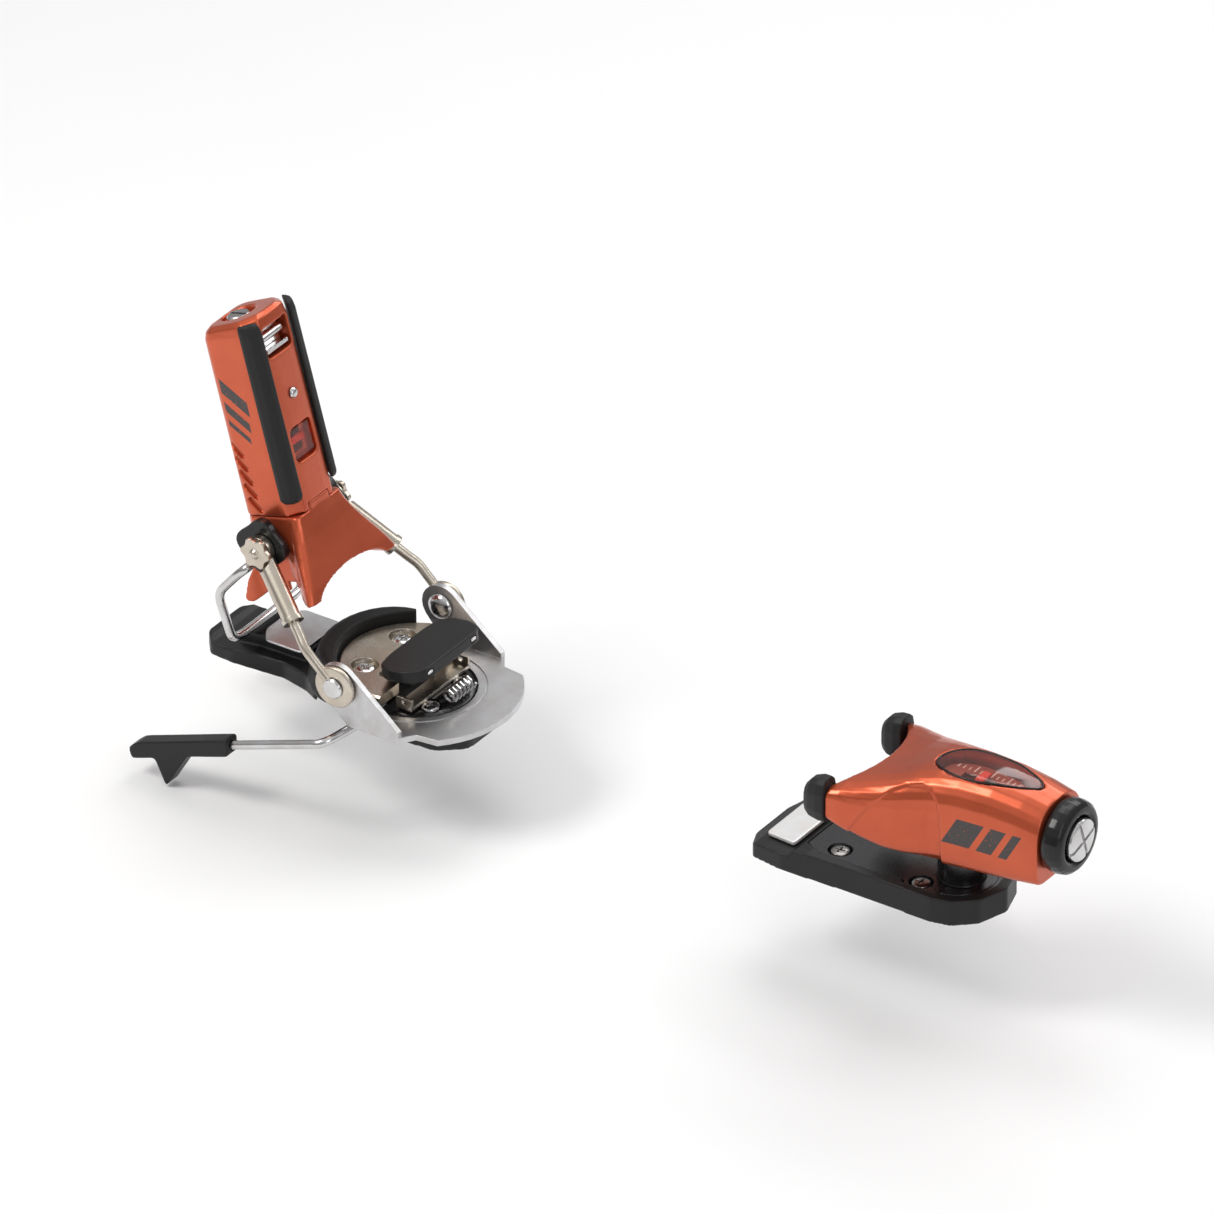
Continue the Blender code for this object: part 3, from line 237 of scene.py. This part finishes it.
def plastic(name, color, rough, grain_mm, depth, sheen=0.0, dust=0.35):
    """Moulded plastic or rubber: leathery grain, uneven gloss, dry paler edges."""
    net = material_net(name)
    normal, edges = net.edge(radius=0.0005)
    cells = net.voronoi(scale=1.0 / (grain_mm * MM), feature="SMOOTH_F1")
    fine = net.noise(scale=3.2 / (grain_mm * MM))
    patch = net.noise(scale=38.0, detail=5.0, rough=0.6)
    height = net.add(net.mul(cells, by=0.8), net.mul(fine, by=0.4))
    lighter = tuple(c * 1.5 for c in color)
    pale = tuple(min(1.0, c * 2.6 + 0.006) for c in color)
    base = net.mix(net.ramp(patch, span=(0.35, 0.75), to=(0.0, 0.35)), color, lighter)
    dry = net.paler_edges(edges, scale=190.0, span=(0.35, 0.7), amount=dust)
    base = net.mix(dry, base, pale)
    gloss = net.add(net.ramp(patch, span=(0.3, 0.75), to=rough), net.mul(dry, by=0.15))
    return net.surface(Base_Color=base, Roughness=gloss, Specular_IOR_Level=0.34,
                       Sheen_Weight=sheen,
                       Normal=net.bump(height, distance=depth, strength=0.55, normal=normal))


def metal(name, color, rough, brush, scratch, depth, tint=0.9, metallic=1.0):
    """Plated, brushed or blasted metal: polish lines, hairlines, tarnish, bright edges.

    brush is the polish frequency along x, y and z.
    """
    net = material_net(name)
    normal, edges = net.edge(radius=0.0004)
    polish = net.stretch(tuple(3.0 * b for b in brush))
    lines = net.noise(scale=1.0, rough=0.5, vector=polish)
    cloud = net.noise(scale=90.0, detail=5.0, rough=0.6)
    hair_scale = (brush[0] * 0.35, brush[1] * 0.35, brush[2] * 0.2)
    hair = net.scratches(net.stretch(hair_scale, rotation=(0.3, 0.5, 0.2)), width=0.03,
                         patches=net.ramp(cloud, span=(0.5, 0.62)))
    dull = tuple(c * tint * k for c, k in zip(color, (0.93, 0.90, 0.86)))
    bright = tuple(min(1.0, c * 1.12) for c in color)
    base = net.mix(net.ramp(cloud, span=(0.38, 0.68)), color, dull)
    base = net.mix(net.mul(edges, by=0.6), base, bright)
    tarnish = net.mul(net.ramp(cloud, span=(0.4, 0.7)), by=0.06)
    gloss = net.add(net.ramp(lines, span=(0.2, 0.8), to=rough), tarnish)
    gloss = net.add(gloss, net.mul(hair, by=0.10 * scratch))
    return net.surface(Base_Color=base, Metallic=metallic, Roughness=gloss,
                       Normal=net.bump(lines, distance=depth, strength=0.25, normal=normal))


def window(name, tint, haze):
    """Smoked clear plastic: tinted body, glossy skin, faint moulding waves and scuffs."""
    net = material_net(name)
    wave = net.noise(scale=160.0)
    scuff = net.scratches(net.stretch((380, 900, 380), rotation=(0.2, 0.1, 0.6)), width=0.02,
                          patches=net.ramp(net.noise(scale=70.0), span=(0.5, 0.65)))
    normal = net.bump(wave, distance=0.00004, strength=0.3)
    clear = net.node("ShaderNodeBsdfTransparent", {"Color": tint})
    body = net.node("ShaderNodeBsdfPrincipled", {"Base Color": haze, "Roughness": 0.3})
    skin = net.node("ShaderNodeBsdfGlossy", {
        "Color": (0.95, 0.93, 0.92), "Roughness": net.add(0.05, net.mul(scuff, by=0.3)),
        "Normal": normal})
    facing = net.node("ShaderNodeLayerWeight", {"Blend": 0.5, "Normal": normal}).outputs["Facing"]
    backface = net.node("ShaderNodeNewGeometry").outputs["Backfacing"]
    front = net.math("SUBTRACT", 1.0, backface)
    # Reflection grows toward grazing angles, on front faces only
    grazing = net.mul(net.math("POWER", facing, 4.0), by=0.7)
    sheen = net.mul(net.add(grazing, plus=0.045), front)
    hazy = net.node("ShaderNodeMixShader", {0: 0.05, 1: clear.outputs[0], 2: body.outputs[0]})
    return net.finish(net.node("ShaderNodeMixShader",
                               {0: sheen, 1: hazy.outputs[0], 2: skin.outputs[0]}))


def print_chips(net):
    """Small gaps in the printed bars."""
    return net.ramp(net.noise(scale=900.0, detail=4.0), span=(0.30, 0.36))


# Housing bars: span of slanted height, and front limit; they share one rear limit
LEVER_BARS = (((0.066, 0.0735), 0.004), ((0.0565, 0.0615), 0.0025), ((0.0495, 0.0525), 0.001))
LEVER_BAR_REAR = -0.0095
# Toe bars: spans of slanted x, and the height span they share
TOE_BARS = ((0.283, 0.297), (0.3005, 0.3085), (0.312, 0.3165))
TOE_BAR_HEIGHT = (0.0425, 0.0565)


def lever_bars(net):
    """Plain slanted bars printed on the housing's two sides."""
    x, y, z = net.xyz()
    dx, dz = net.math("SUBTRACT", x, TILT_X), net.math("SUBTRACT", z, TILT_Z)
    along = net.add(net.mul(dx, ALONG.x), net.mul(dz, ALONG.z))
    forward = net.add(net.mul(dx, FORWARD.x), net.mul(dz, FORWARD.z))
    side = net.ramp(net.math("ABSOLUTE", y), span=(0.0155, 0.0160))
    slant = net.add(along, net.mul(forward, by=0.9))
    high, middle, low = [net.mul(net.band(slant, span), net.band(forward, (LEVER_BAR_REAR, front)))
                         for span, front in LEVER_BARS]
    bars = net.math("MAXIMUM", net.math("MAXIMUM", high, middle), low)
    return net.mul(net.mul(bars, side), print_chips(net))


def toe_bars(net):
    """Plain slanted bars printed on the toe's two flanks."""
    x, y, z = net.xyz()
    side = net.ramp(net.math("ABSOLUTE", y), span=(0.0135, 0.0142))
    slant = net.add(x, net.mul(z, by=-0.55))
    height = net.band(z, TOE_BAR_HEIGHT)
    rear, middle, front = [net.band(slant, span) for span in TOE_BARS]
    bars = net.math("MAXIMUM", rear, net.math("MAXIMUM", middle, front))
    return net.mul(net.mul(net.mul(bars, height), side), print_chips(net))


# Scale ticks start this far from the middle and end at `end`; `share` is the inked part
TICK_START = 0.0044


def dial(name, low, high):
    """Scale strip clouded between two colours, with plain printed ticks."""
    net = material_net(name)
    x, y, _ = net.xyz()
    off_middle = net.math("ABSOLUTE", y)

    def ticks(pitch, share, end):
        phase = net.math("FRACT", net.math("DIVIDE", x, pitch))
        return net.mul(net.math("LESS_THAN", phase, share),
                       net.band(off_middle, (TICK_START, end), soft=0.00005))

    tick = net.math("MAXIMUM", ticks(pitch=0.003, share=0.20, end=0.0072),
                    ticks(pitch=0.009, share=0.09, end=0.0096))
    rough = net.ramp(net.noise(scale=300.0), span=(0.3, 0.7), to=(0.34, 0.5))
    base = net.mix(net.ramp(net.noise(scale=60.0, detail=4.0), span=(0.35, 0.7)), low, high)
    return net.surface(Base_Color=net.mix(tick, base, (0.85, 0.80, 0.76)), Roughness=rough,
                       Normal=net.bump(net.noise(scale=2200.0), distance=0.00002, strength=0.4))


MATERIALS = {
    "orange_anodised": orange("orange_plain"),
    "orange_lever": orange("orange_lever", lever_bars),
    "orange_toe": orange("orange_toe", toe_bars),
    "black_plastic": plastic("moulded_black", (0.0068, 0.0068, 0.0072), rough=(0.36, 0.48),
                             grain_mm=0.5, depth=0.00005),
    "black_rubber": plastic("rubber_black", (0.0085, 0.0084, 0.0083), rough=(0.48, 0.62),
                            grain_mm=0.35, depth=0.00005, sheen=0.03, dust=0.2),
    "gloss_black": plastic("gloss_black", (0.010, 0.010, 0.0105), rough=(0.16, 0.26),
                           grain_mm=0.8, depth=0.00001, dust=0.15),
    "nickel_plate": metal("nickel", (0.60, 0.545, 0.47), rough=(0.25, 0.30),
                          brush=(700, 120, 700), scratch=0.15, depth=0.0000004),
    "blasted_aluminium": metal("blasted", (0.60, 0.60, 0.615), rough=(0.30, 0.42),
                               brush=(1900, 1900, 1900), scratch=0.2, depth=0.000006),
    "bright_steel": metal("bright", (0.66, 0.66, 0.67), rough=(0.12, 0.20),
                          brush=(500, 500, 80), scratch=0.3, depth=0.0000008),
    "dark_steel": metal("dark_coat", (0.060, 0.060, 0.064), rough=(0.17, 0.27),
                        brush=(260, 900, 900), scratch=0.3, depth=0.000001, metallic=0.85),
    "satin_slide": metal("slide_satin", (0.84, 0.85, 0.86), rough=(0.28, 0.38),
                         brush=(90, 1400, 1400), scratch=0.3, depth=0.0000015, tint=0.98,
                         metallic=0.45),
    "smoked_window": window("smoked", tint=(0.975, 0.88, 0.855), haze=(0.16, 0.05, 0.04)),
    "screw_dark": metal("screw_dark", (0.30, 0.295, 0.29), rough=(0.16, 0.26),
                        brush=(600, 600, 600), scratch=0.4, depth=0.000001),
    "red_pointer": plastic("pointer_red", (0.75, 0.035, 0.012), rough=(0.22, 0.34),
                           grain_mm=0.6, depth=0.00001, dust=0.1),
    "dial": dial("dial_ticks", low=(0.30, 0.075, 0.045), high=(0.40, 0.11, 0.07)),
    "dial_heel": dial("dial_plain", low=(0.085, 0.016, 0.012), high=(0.12, 0.026, 0.019)),
}


# =====================================================================
# Carried-over solids
# =====================================================================
@cache
def shade_group(angle):
    """Node group that smooths all faces and keeps edges above the angle sharp."""
    group = bpy.data.node_groups.new("shade_by_angle_%d" % angle, "GeometryNodeTree")
    for direction in ("INPUT", "OUTPUT"):
        group.interface.new_socket("Geometry", in_out=direction,
                                   socket_type="NodeSocketGeometry")
    new, link = group.nodes.new, group.links.new
    entry, leave = new("NodeGroupInput"), new("NodeGroupOutput")
    edge_angle = new("GeometryNodeInputMeshEdgeAngle")
    compare = new("FunctionNodeCompare")
    compare.data_type, compare.operation = "FLOAT", "LESS_EQUAL"
    compare.inputs[1].default_value = math.radians(angle)
    edges, faces = new("GeometryNodeSetShadeSmooth"), new("GeometryNodeSetShadeSmooth")
    edges.domain, faces.domain = "EDGE", "FACE"
    link(entry.outputs[0], edges.inputs["Geometry"])
    link(edge_angle.outputs["Unsigned Angle"], compare.inputs[0])
    link(compare.outputs[0], edges.inputs["Shade Smooth"])
    link(edges.outputs[0], faces.inputs["Geometry"])
    faces.inputs["Shade Smooth"].default_value = True
    link(faces.outputs[0], leave.inputs[0])
    return group


def shade(ob, angle=38):
    ob.modifiers.new("shade", "NODES").node_group = shade_group(angle)
    even = ob.modifiers.new("even", "WEIGHTED_NORMAL")
    even.weight, even.keep_sharp = 80, True


def clean(ob):
    """Drops an imported solid's stored normals and welds its split corners."""
    stored = ob.data.attributes.get("custom_normal")
    if stored is not None:
        ob.data.attributes.remove(stored)
    ob.modifiers.new("weld", "WELD").merge_threshold = 2e-6


def soften(ob, voxel, passes):
    """Rounds every edge of a moulded or cast piece with real geometry."""
    skin = ob.modifiers.new("skin", "REMESH")
    skin.mode, skin.voxel_size, skin.use_smooth_shade = "VOXEL", voxel * MM, True
    ease = ob.modifiers.new("ease", "SMOOTH")
    ease.factor, ease.iterations = 0.5, passes


def dress(ob, material):
    ob.data.materials.clear()
    ob.data.materials.append(material)


SOFT = {  # node: (voxel in mm, smoothing passes)
    "heel_housing": (0.50, 5), "heel_cup": (0.50, 12), "lever_link_block": (0.50, 8),
    "toe_body": (0.50, 8), "tail_body": (0.55, 7), "heel_base": (0.55, 4),
    "toe_base": (0.50, 3), "heel_rest": (0.50, 6), "brake_pad": (0.45, 5),
    "brake_foot_l": (0.45, 5), "brake_foot_r": (0.45, 5), "edge_strip_l": (0.45, 6),
    "edge_strip_r": (0.45, 6), "wing_lip_l": (0.45, 8), "wing_lip_r": (0.45, 8),
    "hub_cover_l": (0.40, 5), "hub_cover_r": (0.40, 5), "star_cap_l": (0.26, 8),
    "star_cap_r": (0.26, 8), "toe_bezel": (0.40, 6), "slide_plate": (0.30, 3),
    "spring_yoke": (0.26, 5),
}
OWN_LOOK = {  # nodes that don't wear their slot's material
    "heel_housing": "orange_lever", "toe_body": "orange_toe", "toe_scale": "dial",
    "toe_bezel": "gloss_black", "hub_cover_l": "gloss_black", "hub_cover_r": "gloss_black",
}


def dress_solids():
    for name, ob in NODES.items():
        clean(ob)
        look = OWN_LOOK.get(name, SLOT[name])
        if name.startswith("toe_mount_screw"):
            look = "screw_dark"
        dress(ob, MATERIALS[look])
        if name in SOFT:
            soften(ob, *SOFT[name])
        else:
            shade(ob)


# =====================================================================
# Builders for the extra pieces, in mm
# =====================================================================
def add_piece(name, mesh, body, slot, look=None, angle=38, replaces=None):
    """Adds a piece that rides on a body; look is its material where the slot's material isn't
    used.
    """
    ob = bpy.data.objects.new(name, mesh)
    scene.collection.objects.link(ob)
    dress(ob, MATERIALS[look or slot])
    shade(ob, angle)
    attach(ob, body)
    if replaces:
        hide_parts(replaces)


def mesh_from(name, bm, matrix=None):
    bmesh.ops.recalc_face_normals(bm, faces=bm.faces)
    mesh = bpy.data.meshes.new(name)
    bm.to_mesh(mesh)
    bm.free()
    if matrix is not None:
        mesh.transform(matrix)
    return mesh


def block(name, low, high, bevel, segments, matrix):
    """Rounded block between two corners."""
    bm = bmesh.new()
    bmesh.ops.create_cube(bm, size=1.0)
    for v in bm.verts:
        v.co = Vector([(a + b) / 2 + c * (b - a) for a, b, c in zip(low, high, v.co)]) * MM
    bmesh.ops.bevel(bm, geom=bm.edges[:], offset=bevel * MM, segments=segments, profile=0.5,
                    affect="EDGES")
    return mesh_from(name, bm, matrix)


def bridge(bm, rings):
    """Joins each ring of vertices to the next with quads."""
    for a, b in zip(rings, rings[1:]):
        for i in range(len(a)):
            j = (i + 1) % len(a)
            bm.faces.new((a[i], a[j], b[j], b[i]))


def lathe(name, profile, steps, matrix):
    """Turned piece: (radius, height) profile round the local z."""
    bm = bmesh.new()
    turns = [2 * math.pi * i / steps for i in range(steps)]
    bridge(bm, [[bm.verts.new((r * MM * math.cos(t), r * MM * math.sin(t), z * MM))
                 for t in turns] for r, z in profile])
    return mesh_from(name, bm, matrix)


def mirror(points, side):
    """The left-hand points for side 1, their right-hand twins for side -1."""
    return [(x, side * y, z) for x, y, z in points]


def fillet(points, radius, steps=8):
    """Rounds a path's corners."""
    path = [Vector(p) for p in points]
    out = [path[0]]
    for a, b, c in zip(path, path[1:], path[2:]):
        reach = min(radius, (a - b).length * 0.48, (c - b).length * 0.48)
        start, end = b + (a - b).normalized() * reach, b + (c - b).normalized() * reach
        for i in range(steps + 1):
            t = i / steps
            out.append(start * (1 - t) ** 2 + b * 2 * t * (1 - t) + end * t ** 2)
    out.append(path[-1])
    return out


# Eased end of a bar: (distance past the end, ring size), both in bar radii
EASED_END = ((0.0, 1.0), (0.12, 0.90), (0.30, 0.62))


def tube(name, points, radius, sides, loop=False):
    """Round bar swept along a path that starts off vertical: a closed ring, or eased ends."""
    path = [p for i, p in enumerate(points) if i == 0 or (p - points[i - 1]).length > 0.02]
    last = len(path) - 1
    if loop:
        tangents = [(path[(i + 1) % len(path)] - path[i - 1]).normalized()
                    for i in range(len(path))]
    else:
        tangents = [(path[min(i + 1, last)] - path[max(i - 1, 0)]).normalized()
                    for i in range(len(path))]
    side = tangents[0].cross(Vector((0, 0, 1))).normalized()
    turns = [2 * math.pi * j / sides for j in range(sides)]
    bm = bmesh.new()
    rings = []
    for i, (point, tangent) in enumerate(zip(path, tangents)):
        side = (side - tangent * side.dot(tangent)).normalized()
        up = tangent.cross(side)
        ends = EASED_END[:1]
        if i == 0 and not loop:
            ends = [(-shift, size) for shift, size in reversed(EASED_END)]
        elif i == last and not loop:
            ends = EASED_END
        for shift, size in ends:
            center = point + tangent * radius * shift
            rings.append([bm.verts.new((center + (side * math.cos(t) + up * math.sin(t))
                                        * radius * size) * MM) for t in turns])
    bridge(bm, rings + rings[:1] if loop else rings)
    if not loop:
        bm.faces.new(rings[0])
        bm.faces.new(rings[-1])
    return mesh_from(name, bm)


def pivot(joint):
    """Joint position in mm."""
    return [c / MM for c in JOINT[joint]["pos_m"]]


# =====================================================================
# Extra pieces
# =====================================================================
def build_bail():
    """Rear bail: one bent bar, mirrored about the middle, its two ends meeting the pivot."""
    px, _, pz = pivot("bail_swing")
    half = [(px, 12.0, pz), (px, 27.6, pz), (px - 4.5, 28.7, pz - 4.6), (-91.9, 28.8, 42.6),
            (-84.1, 28.5, 20.4), (-83.0, 22.0, 19.8)]
    path = fillet(mirror(half, -1) + half[::-1], radius=5.5)
    add_piece("bail_bar", tube("bail_bar", path, radius=2.2, sides=24), "bail", "bright_steel",
              angle=60, replaces="rear_bail")


# Section of the arm's flat ring: (radius, height)
EYE_PROFILE = [(4.1, -1.35), (9.6, -1.35), (10.3, -1.05), (10.6, -0.55), (10.6, 0.55),
               (10.3, 1.05), (9.6, 1.35), (4.1, 1.35), (4.1, -1.35)]


def build_arms():
    """Swing arms: a flat ring round the pivot and a bent rod, in one mesh."""
    px, _, pz = pivot("arm_swing")
    bend = Vector((-34.0, 44.2, 45.3))
    rise = (Vector((-65.0, 30.0, 72.6)) - bend).normalized()
    rod = [(-17.6, 46.3, 30.0), (-30.2, 46.3, 41.9), bend + rise * 0.6, bend + rise * 32.0]
    across = Vector((0, 1, 0)).to_track_quat("Z", "Y").to_matrix().to_4x4()
    for side, tag in SIDES:
        bar = tube("arm_bar_" + tag, fillet(mirror(rod, side), radius=6.0, steps=10),
                   radius=2.35, sides=24)
        place = Matrix.Translation(Vector((px, side * 45.75, pz)) * MM) @ across
        eye = lathe("arm_eye_" + tag, EYE_PROFILE, steps=56, matrix=place)
        bm = bmesh.new()
        bm.from_mesh(bar)
        bm.from_mesh(eye)
        add_piece("arm_" + tag, mesh_from("arm_" + tag, bm), "arms", "nickel_plate", angle=50,
                  replaces="arm_rod_" + tag)
    for _, tag in SIDES:
        NODES["adjuster_sleeve_" + tag].modifiers["shade"].node_group = shade_group(46)


def build_brake_wires():
    """Bent wires from under the pad, out through the pivot and back along the ski."""
    px, _, pz = pivot("brake_swing")
    wire = [(9.0, 13.0, 24.2), (4.0, 13.0, 21.6), (-5.4, 13.0, 13.7), (px, 13.2, 7.4),
            (px, 13.8, pz), (px, 34.0, pz), (-13.4, 52.0, 0.8), (-17.0, 55.4, -0.6),
            (-66.0, 55.4, -17.9), (-92.0, 55.4, -27.0)]
    for side, tag in SIDES:
        mesh = tube("brake_bar_" + tag, fillet(mirror(wire, side), radius=5.0), radius=2.2,
                    sides=22)
        add_piece("brake_bar_" + tag, mesh, "brake", "bright_steel", angle=60,
                  replaces="brake_wire_" + tag)


def build_heel_dial():
    """Scale behind the housing's indicator window."""
    mesh = block("heel_dial", (9.4, -7.0, 36.6), (10.4, 7.0, 50.9), bevel=0.2, segments=2,
                 matrix=LEVER)
    add_piece("heel_dial", mesh, "lever", "dark_steel", look="dial_heel")


def build_pad_tabs():
    """Metal tabs in the brake pad's two slots."""
    pad = (Matrix.Translation((8.5 * MM, 0, 27.6 * MM))
           @ Matrix.Rotation(math.radians(-8.0), 4, "Y"))
    for side, tag in SIDES:
        y_low, y_high = sorted((side * 15.9, side * 19.6))
        mesh = block("pad_tab_" + tag, (9.6, y_low, 2.2), (12.75, y_high, 3.8), bevel=0.35,
                     segments=3, matrix=pad)
        add_piece("pad_tab_" + tag, mesh, "brake", "bright_steel")


def build_plate_rim():
    """Fine raised line round the front of the toe's metal base plate."""
    center_x, radius, z = 300.0, 19.6, 11.35
    turns = [math.radians(-78 + 156 * i / 40) for i in range(41)]
    arc = [Vector((center_x + radius * math.cos(t), radius * math.sin(t), z)) for t in turns]
    add_piece("toe_plate_rim", tube("toe_plate_rim", arc, radius=0.45, sides=10), "ski_side",
              "dark_steel", angle=60)


# Outline of the arched recess on the toe's flanks: (x, z), open along the bottom
ARCH = [(259.0, 24.0), (262.5, 39.5), (268.0, 48.5), (273.5, 56.0), (280.0, 63.0),
        (286.5, 66.8), (294.0, 68.4), (299.5, 67.4), (303.5, 62.5), (305.6, 54.0),
        (306.2, 42.0), (306.4, 18.0)]


def smooth_step(value, low, high):
    t = min(1.0, max(0.0, (value - low) / (high - low)))
    return t * t * (3 - 2 * t)


def arch_depth(x, z):
    """Depth of the recess: 0 on its rim, deepening toward the front crease."""
    inside = False
    for (x0, z0), (x1, z1) in zip(ARCH, ARCH[1:] + ARCH[:1]):
        if (z0 > z) != (z1 > z) and x < x0 + (z - z0) * (x1 - x0) / (z1 - z0):
            inside = not inside
    if not inside:
        return 0.0
    near = 1e9
    for (x0, z0), (x1, z1) in zip(ARCH, ARCH[1:]):
        dx, dz = x1 - x0, z1 - z0
        t = min(1.0, max(0.0, ((x - x0) * dx + (z - z0) * dz) / (dx * dx + dz * dz)))
        near = min(near, math.hypot(x - x0 - t * dx, z - z0 - t * dz))
    return smooth_step(near, 0.0, 1.6) * (0.75 + 1.75 * smooth_step(x, 280.0, 305.0))


def build_toe_shell():
    """Toe body with the shallow recess pressed into the outward faces of both flanks."""
    bpy.context.view_layer.update()
    toe = NODES["toe_body"]
    evaluated = toe.evaluated_get(bpy.context.evaluated_depsgraph_get())
    mesh = bpy.data.meshes.new_from_object(evaluated)
    mesh.transform(toe.matrix_world)
    mesh.update()
    # All moves are found before any is made, so the normals stay those of the plain body
    moves = []
    for v in mesh.vertices:
        x, y, z = v.co / MM
        outward = v.normal.y * (1 if y > 0 else -1)
        if 258.0 < x < 307.0 and abs(y) > 9.0 and outward > 0.05:
            depth = arch_depth(x, z) * smooth_step(outward, 0.05, 0.30)
            if depth > 0:
                moves.append((v.index, v.co - v.normal * (depth * MM)))
    for i, co in moves:
        mesh.vertices[i].co = co
    add_piece("toe_shell", mesh, "toe_wing", "orange_anodised", look="orange_toe", angle=70,
              replaces="toe_body")


def build_window_gasket():
    """Gasket round the toe's teardrop window, laid on it by rays cast downward."""
    center_x, half_length, half_width, sink = 318.5, 27.5, 15.4, 0.10
    pane = NODES["toe_window"]
    bpy.context.view_layer.update()
    bm = bmesh.new()
    bm.from_mesh(pane.data)
    bm.transform(pane.matrix_world)
    tree = BVHTree.FromBMesh(bm)
    bm.free()
    ring = []
    for i in range(72):
        t = 2 * math.pi * i / 72
        k = (1 - math.cos(t)) / 2  # 0 at the rear, 1 at the narrow front
        x = center_x - half_length * math.cos(t)
        y = half_width * math.sin(t) * (1.0 - 0.34 * k - 0.16 * k * k)
        hit = tree.ray_cast(Vector((x * MM, y * MM, 0.2)), Vector((0, 0, -1)))[0]
        if hit is not None:
            ring.append(Vector((x, y, hit.z / MM - sink)))
    add_piece("window_gasket", tube("window_gasket", ring, radius=0.50, sides=10, loop=True),
              "toe_wing", "black_rubber", look="gloss_black", angle=60)


# =====================================================================
# Stage
# =====================================================================
def build_floor():
    low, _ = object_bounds()
    bm = bmesh.new()
    bmesh.ops.create_grid(bm, x_segments=8, y_segments=8, size=6.0)
    drop = Matrix.Translation((0, 0, low.z - 0.0015))
    floor = bpy.data.objects.new("floor", mesh_from("floor", bm, drop))
    scene.collection.objects.link(floor)
    net = material_net("pale_floor")
    cloud = net.ramp(net.noise(scale=3.0), span=(0.3, 0.7))
    base = net.mix(cloud, (0.86, 0.86, 0.865), (0.88, 0.88, 0.88))
    floor.data.materials.append(net.surface(Base_Color=base, Roughness=0.6))


def add_aimed(name, data, place, direction):
    """Adds a camera or light that looks along a direction."""
    ob = bpy.data.objects.new(name, data)
    ob.location = place
    ob.rotation_mode = "QUATERNION"
    ob.rotation_quaternion = direction.to_track_quat("-Z", "Y")
    scene.collection.objects.link(ob)
    return ob


def build_camera():
    """Long lens, looking down from the right; the target is offset in the view plane."""
    azimuth, elevation, distance = math.radians(34.0), math.radians(31.3), 9.412
    right = Vector((math.cos(azimuth), math.sin(azimuth), 0))
    back = Vector((math.sin(azimuth) * math.cos(elevation),
                   -math.cos(azimuth) * math.cos(elevation), math.sin(elevation)))
    target = right * 0.08884 + back.cross(right) * 0.04419
    data = bpy.data.cameras.new("camera")
    data.lens, data.sensor_width = 600.0, 36.0
    data.clip_start, data.clip_end = 0.05, 50.0
    scene.camera = add_aimed("camera", data, target + back * distance, -back)


LIGHT_TARGET = Vector((0.10, 0.0, 0.05))


def area(name, place, size, power, color=(1, 1, 1)):
    data = bpy.data.lights.new(name, "AREA")
    data.shape, data.energy, data.color = "RECTANGLE", power, color
    data.size, data.size_y = size
    add_aimed(name, data, place, LIGHT_TARGET - Vector(place))


def build_lights():
    area("key", (-0.55, -0.75, 1.25), size=(0.55, 0.55), power=11.0, color=(1.0, 0.985, 0.965))
    area("fill", (1.25, -0.75, 0.75), size=(0.5, 0.9), power=3.0, color=(0.965, 0.98, 1.0))
    area("rim", (0.25, 1.15, 0.95), size=(1.4, 0.3), power=5.0)
    area("top", (-0.10, 0.55, 1.4), size=(0.7, 0.7), power=4.0)


def build_world():
    """White light that brightens upward; the camera sees an even pale grey."""
    scene.world = bpy.data.worlds.new("studio")
    net = Net(scene.world, "ShaderNodeOutputWorld")
    height = net.xyz("Generated")[2]
    strength = net.ramp(height, span=(-0.15, 0.85), to=(0.12, 0.72))
    light = net.node("ShaderNodeBackground", {"Color": (1, 1, 1), "Strength": strength})
    seen = net.node("ShaderNodeBackground", {"Color": (0.93, 0.93, 0.93)})
    camera_ray = net.node("ShaderNodeLightPath").outputs["Is Camera Ray"]
    net.finish(net.node("ShaderNodeMixShader",
                        {0: camera_ray, 1: light.outputs[0], 2: seen.outputs[0]}))


dress_solids()
build_bail()
build_arms()
build_brake_wires()
build_heel_dial()
build_pad_tabs()
build_plate_rim()
build_toe_shell()
build_window_gasket()
build_floor()
build_camera()
build_lights()
build_world()
scene.view_settings.view_transform = "Standard"
